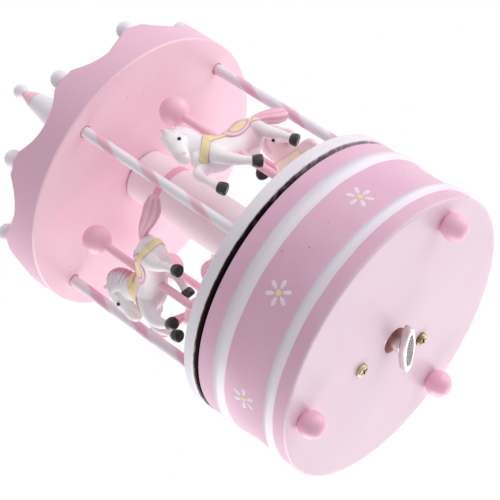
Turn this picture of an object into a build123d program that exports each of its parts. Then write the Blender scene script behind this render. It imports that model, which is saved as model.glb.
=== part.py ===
"""Wind-up music box shaped as a carousel: a turned drum holds a spring-driven comb movement,
and a turntable with four horses, four striped poles and a scalloped canopy turns on top of it.

Frame: +Z is up, the origin is on the turning axis at the level of the table. Millimetres and degrees.
"""

import os
from math import atan, cos, hypot, pi, radians, sin, sqrt, tan

from build123d import *

os.makedirs("parts", exist_ok=True)

# Fits
running_clearance = 0.06
axial_play = 0.2
flange_room = 1.0

# Movement: bedplate, cylinder and comb
movement_angle = -46.8
bed_thickness = 2.5
bed_corner_radius = 5.0
bed_margin = 0.5
arbor_radius = 2.0
winding_pivot_radius = 1.0
winding_pivot_length = 2.4
shaft_radius = 1.0
shaft_end = 0.6
post_thickness = 1.4
post_half_width = 3.5
post_head = 2.5
post_gap = 0.7
tenon_radius = 0.5
cylinder_radius = 5.2
cylinder_length = 16.0
pin_rise = 0.7
pin_radius = 0.25
pins_per_track = 5
track_step_angle = 137.5
pin_floor_room = 0.9
comb_teeth = 18
comb_tooth_share = 0.7
comb_thickness = 0.9
comb_tooth_length = 11.4
comb_root_depth = 5.5
comb_tip_gap = 0.2
comb_bass_extra = 2.0
comb_screw_radius = 1.0
comb_screw_head_radius = 1.8
comb_screw_head_height = 1.2

# Movement: toothed wheels
gear_module = 0.6
crown_teeth = 40
pinion_teeth = 10
pinion_face = 2.0
crown_face = 3.0
pinion_tooth_share = 0.42
crown_tooth_share = 0.36
addendum_share = 0.85
dedendum_share = 1.2
pressure_angle = 20.0
flank_step = 0.05
crown_disc = 1.4
worm_module = 0.5
worm_wheel_teeth = 20
worm_wheel_face = 1.4
worm_radius = 2.0
worm_turns = 4
worm_tooth_share = 0.40
thread_root_sink = 0.2
fan_radius = 4.4
fan_height = 3.0
fan_blade = 0.6
fan_hub_radius = 1.5
bridge_plate = 1.4
bridge_width = 5.0
bridge_room = 0.9

# Movement: barrel, spring and ratchet
barrel_radius = 9.5
barrel_wall = 0.8
barrel_floor = 1.0
ratchet_radius = 4.2
ratchet_depth = 0.7
ratchet_thickness = 1.0
ratchet_teeth = 12
click_gap = 0.25
click_thickness = 0.9
click_boss_radius = 1.1
spring_strip = 0.35
spring_turns = 5
spring_end_room = 0.5
spring_wall_room = 0.2
spindle_radius = 2.5
spindle_grip = 2.5
platform_web = 0.4

# Winding key
key_shaft_radius = 2.4
key_bar_length = 19.4
key_bar_width = 4.8
key_bar_end = 1.6
key_bar_height = 3.0
key_bar_drop = 6.5
key_panel_depth = 0.5
key_panel_border = 0.8
key_thread_radius = 1.5
key_thread_length = 6.0
key_angle = 103.7
key_hole_room = 2.1

# Base
base_wall = 6.5
base_floor = 6.0
cavity_clearance = 3.34
cavity_headroom = 9.68
base_edge_radius = 1.0
cover_thickness = 1.5
cover_ledge = 2.5
bead_rise = 1.0
upper_bead_height = 27.7
upper_bead_half_width = 2.5
lower_bead_height = 7.3
lower_bead_half_width = 1.8
waist_depth = 0.5
foot_radius = 4.5
foot_sink = 1.0
foot_flat = 0.2
foot_inset = 7.8
foot_count = 3
foot_angle = 13.1
foot_dowel_radius = 1.25
foot_dowel_grip = 3.5
screw_radius = 1.25
screw_head_radius = 2.3
screw_head_height = 1.5
screw_dome_share = 0.6
screw_slot_length_share = 1.2
screw_slot_width = 0.6
screw_slot_depth = 0.7
screw_hole_room = 0.25
mounting_screws_at = ((15.7, 3.7), (-10.7, -13.05))

# Turntable
turntable_gap = 1.5
platform_overhang = 0.3
platform_thickness = 4.5
platform_edge_radius = 0.7
flange_radius = 13.0
flange_thickness = 1.2
flange_hub_radius = 5.0
flange_hub_length = 6.0
flange_screw_circle_radius = 9.0
flange_screw_count = 3
flange_screw_radius = 1.1
flange_screw_head = 2.0
flange_screw_grip = 3.2
column_radius = 9.3
column_dowel_radius = 3.0
column_dowel_grip = 8.0
column_dowel_canopy_grip = 5.0
clear_height = 67.5
pole_count = 4
pole_radius = 1.8
pole_inset = 7.1
pole_angle = 68.7
pole_platform_grip = 3.0
pole_canopy_grip = 5.0

# Horses and their rods
horse_count = 4
horse_angle = 17.9
rod_radius = 1.4
rod_inset = 15.95
rod_platform_grip = 3.0
knob_radius = 4.9
knob_height = 54.8
knob_grip = 4.0

# Canopy and spire
canopy_overhang = 0.3
scallop_count = 10
scallop_angle = 8.0
tip_width = 5.8
tip_height = 14.1
dip_height = 9.4
roof_rise = 24.0
spire_seat_radius = 7.2
canopy_edge_radius = 0.6
rim_ball_radius = 3.0
rim_ball_inset = 2.75
rim_ball_lift = 1.4
spire_base_foot_radius = 7.0
spire_base_top_radius = 3.2
spire_base_height = 16.7
spire_cone_foot_radius = 3.4
spire_cone_top_radius = 1.5
spire_cone_height = 5.8
spire_ball_radius = 2.65
spire_ball_sink = 0.35
spire_dowel_radius = 0.9
spire_dowel_grip = 6.0

# Heights of the movement above the floor of the drum
shaft_level = bed_thickness + pin_floor_room + pin_rise + cylinder_radius
pinion_pitch_radius = gear_module * pinion_teeth / 2
crown_pitch_radius = gear_module * crown_teeth / 2
crown_pitch_level = shaft_level + pinion_pitch_radius
crown_root_level = crown_pitch_level + dedendum_share * gear_module
crown_tip_level = crown_pitch_level - addendum_share * gear_module
crown_top_level = crown_root_level + crown_disc
ratchet_level = bed_thickness + axial_play
barrel_level = ratchet_level + ratchet_thickness + axial_play

# Places along the two driven shafts, measured from the turning axis
pinion_start = crown_pitch_radius - pinion_face / 2
pinion_end = crown_pitch_radius + pinion_face / 2
crown_outer_radius = crown_pitch_radius + crown_face / 2
inner_post_at = crown_outer_radius + post_gap
inner_post_end = inner_post_at + post_thickness
cylinder_start = inner_post_end + post_gap
cylinder_end = cylinder_start + cylinder_length
outer_post_at = cylinder_end + post_gap
cylinder_shaft_end = outer_post_at + post_thickness + shaft_end
worm_wheel_start = inner_post_end + post_gap
worm_wheel_end = worm_wheel_start + worm_wheel_face
governor_post_at = worm_wheel_end + post_gap
governor_shaft_end = governor_post_at + post_thickness + shaft_end
worm_wheel_radius = worm_module * worm_wheel_teeth / 2
worm_pitch = pi * worm_module
worm_x = -(worm_wheel_radius + worm_radius)
worm_y = worm_wheel_start + worm_wheel_face / 2
worm_tip_radius = worm_radius + addendum_share * worm_module
worm_root_radius = worm_radius - dedendum_share * worm_module
worm_half_length = worm_turns * worm_pitch / 2
fan_level = max(crown_top_level, shaft_level + worm_half_length) + axial_play
bridge_inner_level = fan_level + fan_height + axial_play
bridge_top_level = bridge_inner_level + bridge_plate
bridge_inner_x = worm_x - fan_radius - bridge_room
bridge_outer_x = bridge_inner_x - bridge_plate
bridge_tip_x = worm_x + worm_root_radius + bridge_plate

# Comb and bedplate outline
comb_tip_y = -(cylinder_radius + pin_rise + comb_tip_gap)
comb_root_y = comb_tip_y - comb_tooth_length
comb_back_y = comb_root_y - comb_root_depth
comb_centre_x = (cylinder_start + cylinder_end) / 2
comb_pitch = cylinder_length / comb_teeth
comb_level = shaft_level - comb_thickness / 2
bed_x_max = outer_post_at + post_thickness + bed_margin
bed_x_min = bridge_outer_x - bed_margin
bed_y_max = governor_post_at + post_thickness + bed_margin
bed_y_min = comb_back_y - bed_margin
bed_reach = bed_corner_radius + hypot(bed_x_max - bed_corner_radius, -bed_y_min - bed_corner_radius)

# Main radii and heights
cavity_radius = bed_reach + cavity_clearance
base_radius = cavity_radius + base_wall
base_bottom = 2 * foot_radius - foot_sink - foot_flat
floor_top = base_bottom + base_floor
cover_bottom = floor_top + bridge_top_level + cavity_headroom
base_top = cover_bottom + cover_thickness
platform_bottom = base_top + turntable_gap
platform_top = platform_bottom + platform_thickness
platform_radius = base_radius + platform_overhang
column_dowel_platform_grip = platform_thickness - spindle_grip - platform_web
pole_circle = platform_radius - pole_inset
rod_circle = platform_radius - rod_inset
canopy_bottom = platform_top + clear_height
canopy_radius = platform_radius + canopy_overhang
tip_level = canopy_bottom + tip_height
dip_level = canopy_bottom + dip_height
roof_slope = roof_rise / (canopy_radius - spire_seat_radius)
spire_level = tip_level + roof_rise
apex_level = spire_level + roof_slope * spire_seat_radius
spire_cone_level = spire_level + spire_base_height
spire_top_level = spire_cone_level + spire_cone_height
foot_circle = base_radius - foot_inset
foot_centre = foot_radius - foot_flat

seated = (Align.CENTER, Align.CENTER, Align.MIN)
movement = Plane(
    origin=(0, 0, floor_top),
    x_dir=(cos(radians(movement_angle)), sin(radians(movement_angle)), 0),
    z_dir=(0, 0, 1),
)


def in_movement(plane):
    """Place a plane given in the movement's own axes (x along the cylinder, z up from the floor)."""
    return Plane(movement.location * plane.location)


def bed_level(height):
    """Horizontal plane of the movement at a height above the floor of the drum."""
    return movement.offset(height)


def along_cylinder(distance):
    """Plane across the cylinder shaft; sketch y is up."""
    return in_movement(Plane(origin=(distance, 0, shaft_level), x_dir=(0, 1, 0), z_dir=(1, 0, 0)))


def along_governor(distance):
    """Plane across the governor shaft; sketch y is up."""
    return in_movement(Plane(origin=(0, distance, shaft_level), x_dir=(-1, 0, 0), z_dir=(0, 1, 0)))


def save(piece, name):
    """Label a finished piece and write it as its own file."""
    piece.part.label = name
    export_step(piece.part, f"parts/{name}.step")


def rod_piece(plane, radius, length):
    """Plain round bar standing on a plane."""
    with BuildPart() as bar:
        with BuildSketch(plane):
            Circle(radius)
        extrude(amount=length)
    return bar


def turned_piece(profile):
    """Solid turned about the main axis from (radius, height) corners."""
    with BuildPart() as turned:
        with BuildSketch(Plane.XZ):
            with BuildLine():
                Polyline(*profile, close=True)
            make_face()
        revolve(axis=Axis.Z)
    return turned


def involute(radius, base):
    """Involute function of the flank at a radius."""
    ratio = sqrt(max((radius / base) ** 2 - 1, 0))
    return ratio - atan(ratio)


def tooth_outline(teeth, module, share, first_angle):
    """Corner points of a toothed wheel with involute flanks, thinned to a share of the pitch."""
    pitch_radius = module * teeth / 2
    base = pitch_radius * cos(radians(pressure_angle))
    root = pitch_radius - dedendum_share * module
    tip = pitch_radius + addendum_share * module
    flank = [root, max(base, root + flank_step), (pitch_radius + tip) / 2, tip]
    half_angles = [share * pi / teeth + involute(pitch_radius, base) - involute(r, base) for r in flank]
    points = []
    for tooth in range(teeth):
        centre = radians(first_angle) + 2 * pi * tooth / teeth
        rising = [(r, centre - half) for r, half in zip(flank, half_angles)]
        falling = [(r, centre + half) for r, half in zip(flank, half_angles)]
        points += [(r * cos(a), r * sin(a)) for r, a in rising + falling[::-1]]
    return points


def toothed_wheel(plane, teeth, module, share, first_angle, face, bore):
    """Toothed wheel standing on a plane, with a round bore."""
    with BuildPart() as wheel:
        with BuildSketch(plane):
            with BuildLine():
                Polyline(*tooth_outline(teeth, module, share, first_angle), close=True)
            make_face()
            Circle(bore, mode=Mode.SUBTRACT)
        extrude(amount=face)
    return wheel


def drive_pinion(plane):
    """Pinion that meets the crown wheel above it, with one tooth straight up."""
    return toothed_wheel(
        plane, pinion_teeth, gear_module, pinion_tooth_share, 90, pinion_face, shaft_radius
    )


def pan_screw(plane, radius, length, head_radius, head_height):
    """Screw with a domed cross-slot head; the plane lies under the head and its normal leads to the tip."""
    with BuildPart() as screw:
        with BuildSketch(plane):
            Circle(radius)
        extrude(amount=length)
        with BuildSketch(plane):
            Circle(head_radius)
        extrude(amount=-head_height)
        crown = screw.faces().sort_by(Axis(plane.origin, plane.z_dir))[0]
        fillet(crown.edges(), head_height * screw_dome_share)
        with BuildSketch(plane.offset(-head_height)):
            Rectangle(head_radius * screw_slot_length_share, screw_slot_width)
            Rectangle(screw_slot_width, head_radius * screw_slot_length_share)
        extrude(amount=screw_slot_depth, mode=Mode.SUBTRACT)
    return screw


def polar_point(radius, angle, height=0.0):
    """Point at a radius and an angle about the main axis."""
    return (radius * cos(radians(angle)), radius * sin(radians(angle)), height)


foot_angles = [foot_angle + 360 / foot_count * i for i in range(foot_count)]
pole_angles = [pole_angle + 360 / pole_count * i for i in range(pole_count)]
horse_angles = [horse_angle + 360 / horse_count * i for i in range(horse_count)]
scallop_angles = [scallop_angle + 360 / scallop_count * i for i in range(scallop_count)]
flange_screw_angles = [360 / flange_screw_count * i for i in range(flange_screw_count)]
foot_points = [polar_point(foot_circle, a, foot_centre) for a in foot_angles]
pole_points = [polar_point(pole_circle, a) for a in pole_angles]
rod_points = [polar_point(rod_circle, a) for a in horse_angles]
rim_ball_circle = canopy_radius - rim_ball_inset
rim_ball_level = tip_level + roof_slope * rim_ball_inset + rim_ball_lift
rim_ball_points = [polar_point(rim_ball_circle, a, rim_ball_level) for a in scallop_angles]
flange_screw_points = [polar_point(flange_screw_circle_radius, a) for a in flange_screw_angles]

# Base drum: turned wall with two half-round beads, a slight waist between them and a floor
upper_bead = base_bottom + upper_bead_height
lower_bead = base_bottom + lower_bead_height
rebate_radius = cavity_radius + cover_ledge
with BuildPart() as base_drum:
    with BuildSketch(Plane.XZ):
        with BuildLine():
            Line((0, base_bottom), (base_radius, base_bottom))
            Line((base_radius, base_bottom), (base_radius, lower_bead - lower_bead_half_width))
            ThreePointArc(
                (base_radius, lower_bead - lower_bead_half_width),
                (base_radius + bead_rise, lower_bead),
                (base_radius, lower_bead + lower_bead_half_width),
            )
            ThreePointArc(
                (base_radius, lower_bead + lower_bead_half_width),
                (base_radius - waist_depth, (lower_bead + upper_bead) / 2),
                (base_radius, upper_bead - upper_bead_half_width),
            )
            ThreePointArc(
                (base_radius, upper_bead - upper_bead_half_width),
                (base_radius + bead_rise, upper_bead),
                (base_radius, upper_bead + upper_bead_half_width),
            )
            Polyline(
                (base_radius, upper_bead + upper_bead_half_width),
                (base_radius, base_top),
                (rebate_radius, base_top),
                (rebate_radius, cover_bottom),
                (cavity_radius, cover_bottom),
                (cavity_radius, floor_top),
                (0, floor_top),
                (0, base_bottom),
            )
        make_face()
    revolve(axis=Axis.Z)
    outer_edges = base_drum.edges().filter_by(GeomType.CIRCLE).filter_by(
        lambda e: abs(e.radius - base_radius) < 1e-6
    )
    fillet([outer_edges.sort_by(Axis.Z)[0], outer_edges.sort_by(Axis.Z)[-1]], base_edge_radius)
    with Locations((0, 0, base_bottom)):
        Cylinder(key_shaft_radius + key_hole_room, base_floor, align=seated, mode=Mode.SUBTRACT)
    with Locations(*[(x, y, base_bottom) for x, y in mounting_screws_at]):
        Cylinder(screw_radius + screw_hole_room, base_floor, align=seated, mode=Mode.SUBTRACT)
    with Locations(*foot_points):
        Sphere(foot_radius, mode=Mode.SUBTRACT)
        Cylinder(
            foot_dowel_radius, foot_radius + foot_dowel_grip, align=seated, mode=Mode.SUBTRACT
        )
save(base_drum, "base_drum")

# Ball feet with a small worn flat, each on a dowel let into the floor
with BuildPart() as ball_feet:
    with Locations(*foot_points):
        Sphere(foot_radius)
        Cylinder(foot_dowel_radius, foot_radius + foot_dowel_grip, align=seated, mode=Mode.SUBTRACT)
    split(bisect_by=Plane.XY, keep=Keep.TOP)
save(ball_feet, "ball_feet")

with BuildPart() as foot_dowels:
    with Locations(*foot_points):
        Cylinder(foot_dowel_radius, foot_radius + foot_dowel_grip, align=seated)
save(foot_dowels, "foot_dowels")

# Black board that closes the drum under the turntable
with BuildPart() as base_cover:
    with BuildSketch(Plane.XY.offset(cover_bottom)):
        Circle(rebate_radius)
        Circle(flange_radius + flange_room, mode=Mode.SUBTRACT)
    extrude(amount=cover_thickness)
save(base_cover, "base_cover")

# Two screws that hold the movement from below
with BuildPart() as mounting_screws:
    for x, y in mounting_screws_at:
        add(
            pan_screw(
                Plane(origin=(x, y, base_bottom)),
                screw_radius,
                base_floor + bed_thickness,
                screw_head_radius,
                screw_head_height,
            ).part
        )
save(mounting_screws, "mounting_screws")

# Places of the pillars on the bedplate, in the movement's axes
post_tenons = (
    (inner_post_at + post_thickness / 2, 0),
    (outer_post_at + post_thickness / 2, 0),
    (0, inner_post_at + post_thickness / 2),
    (0, governor_post_at + post_thickness / 2),
    (bridge_inner_x + post_head, worm_y),
)
comb_screw_y = (comb_root_y + comb_back_y) / 2
comb_screws_at = (
    (comb_centre_x - cylinder_length / 4, comb_screw_y),
    (comb_centre_x + cylinder_length / 4, comb_screw_y),
)
screw_local = [movement.to_local_coords(Vector(x, y, floor_top)) for x, y in mounting_screws_at]

with BuildPart() as bedplate:
    with BuildSketch(bed_level(0)):
        with Locations(((bed_x_min + bed_x_max) / 2, (bed_y_min + bed_y_max) / 2)):
            RectangleRounded(bed_x_max - bed_x_min, bed_y_max - bed_y_min, bed_corner_radius)
        Circle(arbor_radius + running_clearance, mode=Mode.SUBTRACT)
        with Locations(*[(p.X, p.Y) for p in screw_local]):
            Circle(screw_radius, mode=Mode.SUBTRACT)
        with Locations(*comb_screws_at):
            Circle(comb_screw_radius, mode=Mode.SUBTRACT)
        with Locations(*post_tenons):
            Circle(tenon_radius, mode=Mode.SUBTRACT)
    extrude(amount=bed_thickness)
save(bedplate, "bedplate")


def bearing_post(plane, tenon_at):
    """Pillar riveted into the bedplate, with a bearing hole at the shaft level."""
    rise = shaft_level - bed_thickness
    with BuildPart() as post:
        with BuildSketch(plane):
            with Locations((0, (post_head - rise) / 2)):
                Rectangle(2 * post_half_width, rise + post_head)
            Circle(shaft_radius + running_clearance, mode=Mode.SUBTRACT)
        extrude(amount=post_thickness)
        with BuildSketch(bed_level(0)):
            with Locations(tenon_at):
                Circle(tenon_radius)
        extrude(amount=bed_thickness)
    return post


save(bearing_post(along_cylinder(inner_post_at), post_tenons[0]), "cylinder_post_inner")
save(bearing_post(along_cylinder(outer_post_at), post_tenons[1]), "cylinder_post_outer")
save(bearing_post(along_governor(inner_post_at), post_tenons[2]), "governor_post_inner")
save(bearing_post(along_governor(governor_post_at), post_tenons[3]), "governor_post_outer")

# Governor bridge: a bent strip that carries both pivots of the worm
bridge_side = in_movement(
    Plane(origin=(0, worm_y + bridge_width / 2, 0), x_dir=(1, 0, 0), z_dir=(0, -1, 0))
)
with BuildPart() as governor_bridge:
    with BuildSketch(bridge_side):
        with BuildLine():
            Polyline(
                (bridge_outer_x, bed_thickness),
                (bridge_tip_x, bed_thickness),
                (bridge_tip_x, bed_thickness + bridge_plate),
                (bridge_inner_x, bed_thickness + bridge_plate),
                (bridge_inner_x, bridge_inner_level),
                (bridge_tip_x, bridge_inner_level),
                (bridge_tip_x, bridge_top_level),
                (bridge_outer_x, bridge_top_level),
                close=True,
            )
        make_face()
    extrude(amount=bridge_width)
    with BuildSketch(bed_level(bed_thickness)):
        with Locations((worm_x, worm_y)):
            Circle(shaft_radius + running_clearance)
    extrude(amount=bridge_top_level - bed_thickness, mode=Mode.SUBTRACT)
    with BuildSketch(bed_level(0)):
        with Locations(post_tenons[4]):
            Circle(tenon_radius)
    extrude(amount=bed_thickness)
save(governor_bridge, "governor_bridge")

# Comb: a steel plate with graded teeth on a block
with BuildPart() as comb_block:
    with BuildSketch(bed_level(bed_thickness)):
        with Locations((comb_centre_x, comb_screw_y)):
            Rectangle(cylinder_length, comb_root_depth)
        with Locations(*comb_screws_at):
            Circle(comb_screw_radius, mode=Mode.SUBTRACT)
    extrude(amount=comb_level - bed_thickness)
save(comb_block, "comb_block")

with BuildPart() as tuned_comb:
    with BuildSketch(bed_level(comb_level)):
        with Locations((comb_centre_x, comb_screw_y)):
            Rectangle(cylinder_length, comb_root_depth)
        for tooth in range(comb_teeth):
            tooth_x = cylinder_start + (tooth + 0.5) * comb_pitch
            with Locations((tooth_x, (comb_tip_y + comb_root_y) / 2)):
                Rectangle(comb_pitch * comb_tooth_share, comb_tooth_length)
        with Locations(*comb_screws_at):
            Circle(comb_screw_radius, mode=Mode.SUBTRACT)
    extrude(amount=comb_thickness)
    with BuildSketch(bed_level(comb_level)):
        with BuildLine():
            Polyline(
                (cylinder_start, comb_root_y),
                (cylinder_end, comb_root_y),
                (cylinder_start, comb_root_y + comb_bass_extra),
                close=True,
            )
        make_face()
    extrude(amount=comb_thickness)
save(tuned_comb, "tuned_comb")

with BuildPart() as comb_screws:
    for x, y in comb_screws_at:
        head_plane = in_movement(
            Plane(origin=(x, y, comb_level + comb_thickness), x_dir=(1, 0, 0), z_dir=(0, 0, -1))
        )
        add(
            pan_screw(
                head_plane,
                comb_screw_radius,
                comb_level + comb_thickness,
                comb_screw_head_radius,
                comb_screw_head_height,
            ).part
        )
save(comb_screws, "comb_screws")

# Pinned cylinder with its shaft and pinion
with BuildPart() as pinned_cylinder:
    with BuildSketch(along_cylinder(cylinder_start)):
        Circle(cylinder_radius)
        Circle(shaft_radius, mode=Mode.SUBTRACT)
    extrude(amount=cylinder_length)
    for track in range(comb_teeth):
        track_x = cylinder_start + (track + 0.5) * comb_pitch
        for pin in range(pins_per_track):
            pin_angle = radians(track_step_angle * track + 360 / pins_per_track * pin)
            radial = (0, cos(pin_angle), sin(pin_angle))
            pin_root = Plane(origin=(track_x, 0, shaft_level), x_dir=(1, 0, 0), z_dir=radial)
            with BuildSketch(in_movement(pin_root).offset(cylinder_radius / 2)):
                Circle(pin_radius)
    extrude(amount=cylinder_radius / 2 + pin_rise)
save(pinned_cylinder, "pinned_cylinder")

shaft_start = pinion_start - shaft_end
cylinder_shaft_length = cylinder_shaft_end - shaft_start
save(rod_piece(along_cylinder(shaft_start), shaft_radius, cylinder_shaft_length), "cylinder_shaft")
save(drive_pinion(along_cylinder(pinion_start)), "cylinder_pinion")

# Governor shaft with its pinion and worm wheel
governor_shaft_length = governor_shaft_end - shaft_start
save(rod_piece(along_governor(shaft_start), shaft_radius, governor_shaft_length), "governor_shaft")
save(drive_pinion(along_governor(pinion_start)), "governor_pinion")
save(
    toothed_wheel(
        along_governor(worm_wheel_start),
        worm_wheel_teeth,
        worm_module,
        worm_tooth_share,
        180 / worm_wheel_teeth,
        worm_wheel_face,
        shaft_radius,
    ),
    "worm_wheel",
)

# Worm on its upright shaft, and the air-brake fan above it
worm_foot = in_movement(Plane(origin=(worm_x, worm_y, shaft_level - worm_half_length)))
thread_plane = Plane(
    worm_foot.location * Plane(origin=(worm_radius, 0, 0), x_dir=(1, 0, 0), z_dir=(0, 1, 0)).location
)
thread_slope = tan(radians(pressure_angle))
thread_pitch_half = worm_tooth_share * worm_pitch / 2
thread_tip_half = thread_pitch_half - addendum_share * worm_module * thread_slope
thread_root_half = thread_pitch_half + dedendum_share * worm_module * thread_slope
with BuildPart() as governor_worm:
    with BuildLine(worm_foot):
        Helix(pitch=worm_pitch, height=2 * worm_half_length, radius=worm_radius)
    with BuildSketch(thread_plane):
        with BuildLine():
            Polyline(
                (worm_root_radius - worm_radius - thread_root_sink, -thread_root_half),
                (worm_tip_radius - worm_radius, -thread_tip_half),
                (worm_tip_radius - worm_radius, thread_tip_half),
                (worm_root_radius - worm_radius - thread_root_sink, thread_root_half),
                close=True,
            )
        make_face()
    sweep(is_frenet=True)
    with BuildSketch(worm_foot.offset(-worm_pitch)):
        Circle(worm_root_radius)
    extrude(amount=2 * worm_half_length + 2 * worm_pitch)
    with BuildSketch(in_movement(Plane(origin=(worm_x, worm_y, bed_thickness)))):
        Circle(shaft_radius)
    extrude(amount=bridge_top_level - bed_thickness)
save(governor_worm, "governor_worm")

with BuildPart() as governor_fan:
    with BuildSketch(in_movement(Plane(origin=(worm_x, worm_y, fan_level)))):
        Circle(fan_hub_radius)
        Rectangle(2 * fan_radius, fan_blade)
        Circle(shaft_radius, mode=Mode.SUBTRACT)
    extrude(amount=fan_height)
save(governor_fan, "governor_fan")

# Spring barrel: a cup that carries the crown wheel as its lid
with BuildPart() as spring_barrel:
    with BuildSketch(bed_level(barrel_level)):
        Circle(barrel_radius)
        Circle(arbor_radius + running_clearance, mode=Mode.SUBTRACT)
    extrude(amount=barrel_floor)
    with BuildSketch(bed_level(barrel_level + barrel_floor)):
        Circle(barrel_radius)
        Circle(barrel_radius - barrel_wall, mode=Mode.SUBTRACT)
    extrude(amount=crown_root_level - barrel_level - barrel_floor)
save(spring_barrel, "spring_barrel")

crown_pitch = pi * gear_module
crown_slope = tan(radians(pressure_angle))
crown_half = crown_tooth_share * crown_pitch / 2
crown_tip_half = crown_half - addendum_share * gear_module * crown_slope
crown_root_half = crown_half + dedendum_share * gear_module * crown_slope
crown_side = in_movement(
    Plane(origin=(crown_pitch_radius - crown_face / 2, 0, crown_root_level), x_dir=(0, 1, 0), z_dir=(1, 0, 0))
)
crown_depth = crown_root_level - crown_tip_level
with BuildPart() as crown_tooth:
    with BuildSketch(crown_side):
        with BuildLine():
            Polyline(
                (-crown_root_half, crown_disc / 2),
                (-crown_root_half, 0),
                (-crown_tip_half, -crown_depth),
                (crown_tip_half, -crown_depth),
                (crown_root_half, 0),
                (crown_root_half, crown_disc / 2),
                close=True,
            )
        make_face()
    extrude(amount=crown_face)

with BuildPart() as crown_wheel:
    with BuildSketch(bed_level(crown_root_level)):
        Circle(crown_outer_radius)
        Circle(spindle_radius, mode=Mode.SUBTRACT)
    extrude(amount=crown_disc)
    with PolarLocations(0, crown_teeth, start_angle=180 / crown_teeth):
        add(crown_tooth.part)
save(crown_wheel, "crown_wheel")

# Mainspring: a spiral strip between the arbor and the wall of the barrel
spring_inner = arbor_radius + spring_end_room + spring_strip / 2
spring_outer = barrel_radius - barrel_wall - spring_wall_room - spring_strip / 2
spring_steps = 8 * spring_turns


def spiral_points(shift):
    """Points of the spiral, moved outwards by a shift."""
    points = []
    for step in range(spring_steps + 1):
        share = step / spring_steps
        radius = spring_inner + (spring_outer - spring_inner) * share + shift
        angle = 2 * pi * spring_turns * share
        points.append((radius * cos(angle), radius * sin(angle)))
    return points


with BuildPart() as mainspring:
    with BuildSketch(bed_level(barrel_level + barrel_floor + axial_play)):
        with BuildLine():
            inner_side = Spline(*spiral_points(-spring_strip / 2))
            outer_side = Spline(*spiral_points(spring_strip / 2))
            Line(inner_side @ 0, outer_side @ 0)
            Line(inner_side @ 1, outer_side @ 1)
        make_face()
    extrude(amount=crown_root_level - barrel_level - barrel_floor - 2 * axial_play)
save(mainspring, "mainspring")

# Winding arbor with its ratchet wheel and click
key_top = floor_top - axial_play
with BuildPart() as winding_arbor:
    with BuildSketch(Plane.XY.offset(key_top - key_thread_length)):
        Circle(key_thread_radius)
    extrude(amount=key_thread_length)
    with BuildSketch(Plane.XY.offset(key_top)):
        Circle(arbor_radius)
    extrude(amount=floor_top + crown_root_level - axial_play - key_top)
    with BuildSketch(bed_level(crown_root_level - axial_play)):
        Circle(winding_pivot_radius)
    extrude(amount=winding_pivot_length + axial_play)
save(winding_arbor, "winding_arbor")

with BuildPart() as ratchet_wheel:
    with BuildSketch(bed_level(ratchet_level)):
        with BuildLine():
            saw = []
            for tooth in range(ratchet_teeth):
                angle = 360 / ratchet_teeth * tooth
                saw.append(polar_point(ratchet_radius - ratchet_depth, angle)[:2])
                saw.append(polar_point(ratchet_radius, angle)[:2])
            Polyline(*saw, close=True)
        make_face()
        Circle(arbor_radius, mode=Mode.SUBTRACT)
    extrude(amount=ratchet_thickness)
save(ratchet_wheel, "ratchet_wheel")

click_tip = ratchet_radius + click_gap
with BuildPart() as ratchet_click:
    with BuildSketch(bed_level(bed_thickness)):
        with BuildLine():
            Polyline(
                (-click_tip, 0),
                (-click_tip - click_thickness, 0),
                (-click_tip - 2 * click_thickness, -ratchet_radius),
                (-click_tip - click_thickness, -ratchet_radius),
                close=True,
            )
        make_face()
        with Locations((-click_tip - 1.5 * click_thickness, -ratchet_radius)):
            Circle(click_boss_radius)
    extrude(amount=ratchet_thickness)
save(ratchet_click, "ratchet_click")

# Winding key: a lens-shaped bar on a short shaft, screwed to the arbor
bar_bottom = base_bottom - key_bar_drop
bar_plane = Plane(
    origin=(0, 0, bar_bottom), x_dir=(cos(radians(key_angle)), sin(radians(key_angle)), 0), z_dir=(0, 0, 1)
)


def lens_outline(length, width, end):
    """Closed outline of a bar that swells in the middle and has blunt ends."""
    ThreePointArc((-length / 2, end / 2), (0, width / 2), (length / 2, end / 2))
    Line((length / 2, end / 2), (length / 2, -end / 2))
    ThreePointArc((length / 2, -end / 2), (0, -width / 2), (-length / 2, -end / 2))
    Line((-length / 2, -end / 2), (-length / 2, end / 2))


with BuildPart() as winding_key:
    with BuildSketch(bar_plane):
        with BuildLine():
            lens_outline(key_bar_length, key_bar_width, key_bar_end)
        make_face()
    extrude(amount=key_bar_height)
    with BuildSketch(bar_plane):
        with BuildLine():
            lens_outline(
                key_bar_length - 4 * key_panel_border,
                key_bar_width - 2 * key_panel_border,
                key_bar_end - key_panel_border,
            )
        make_face()
    extrude(amount=key_panel_depth, mode=Mode.SUBTRACT)
    with BuildSketch(Plane.XY.offset(bar_bottom + key_bar_height)):
        Circle(key_shaft_radius)
    extrude(amount=key_top - bar_bottom - key_bar_height)
    with BuildSketch(Plane.XY.offset(key_top)):
        Circle(key_thread_radius)
    extrude(amount=-key_thread_length, mode=Mode.SUBTRACT)
save(winding_key, "winding_key")

# Spindle that lifts the drive from the crown wheel to the turntable
spindle_bottom = floor_top + crown_root_level
with BuildPart() as spindle:
    with BuildSketch(Plane.XY.offset(spindle_bottom)):
        Circle(spindle_radius)
    extrude(amount=platform_bottom + spindle_grip - spindle_bottom)
    with BuildSketch(Plane.XY.offset(spindle_bottom)):
        Circle(winding_pivot_radius + running_clearance)
    extrude(amount=winding_pivot_length + axial_play, mode=Mode.SUBTRACT)
save(spindle, "spindle")

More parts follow.
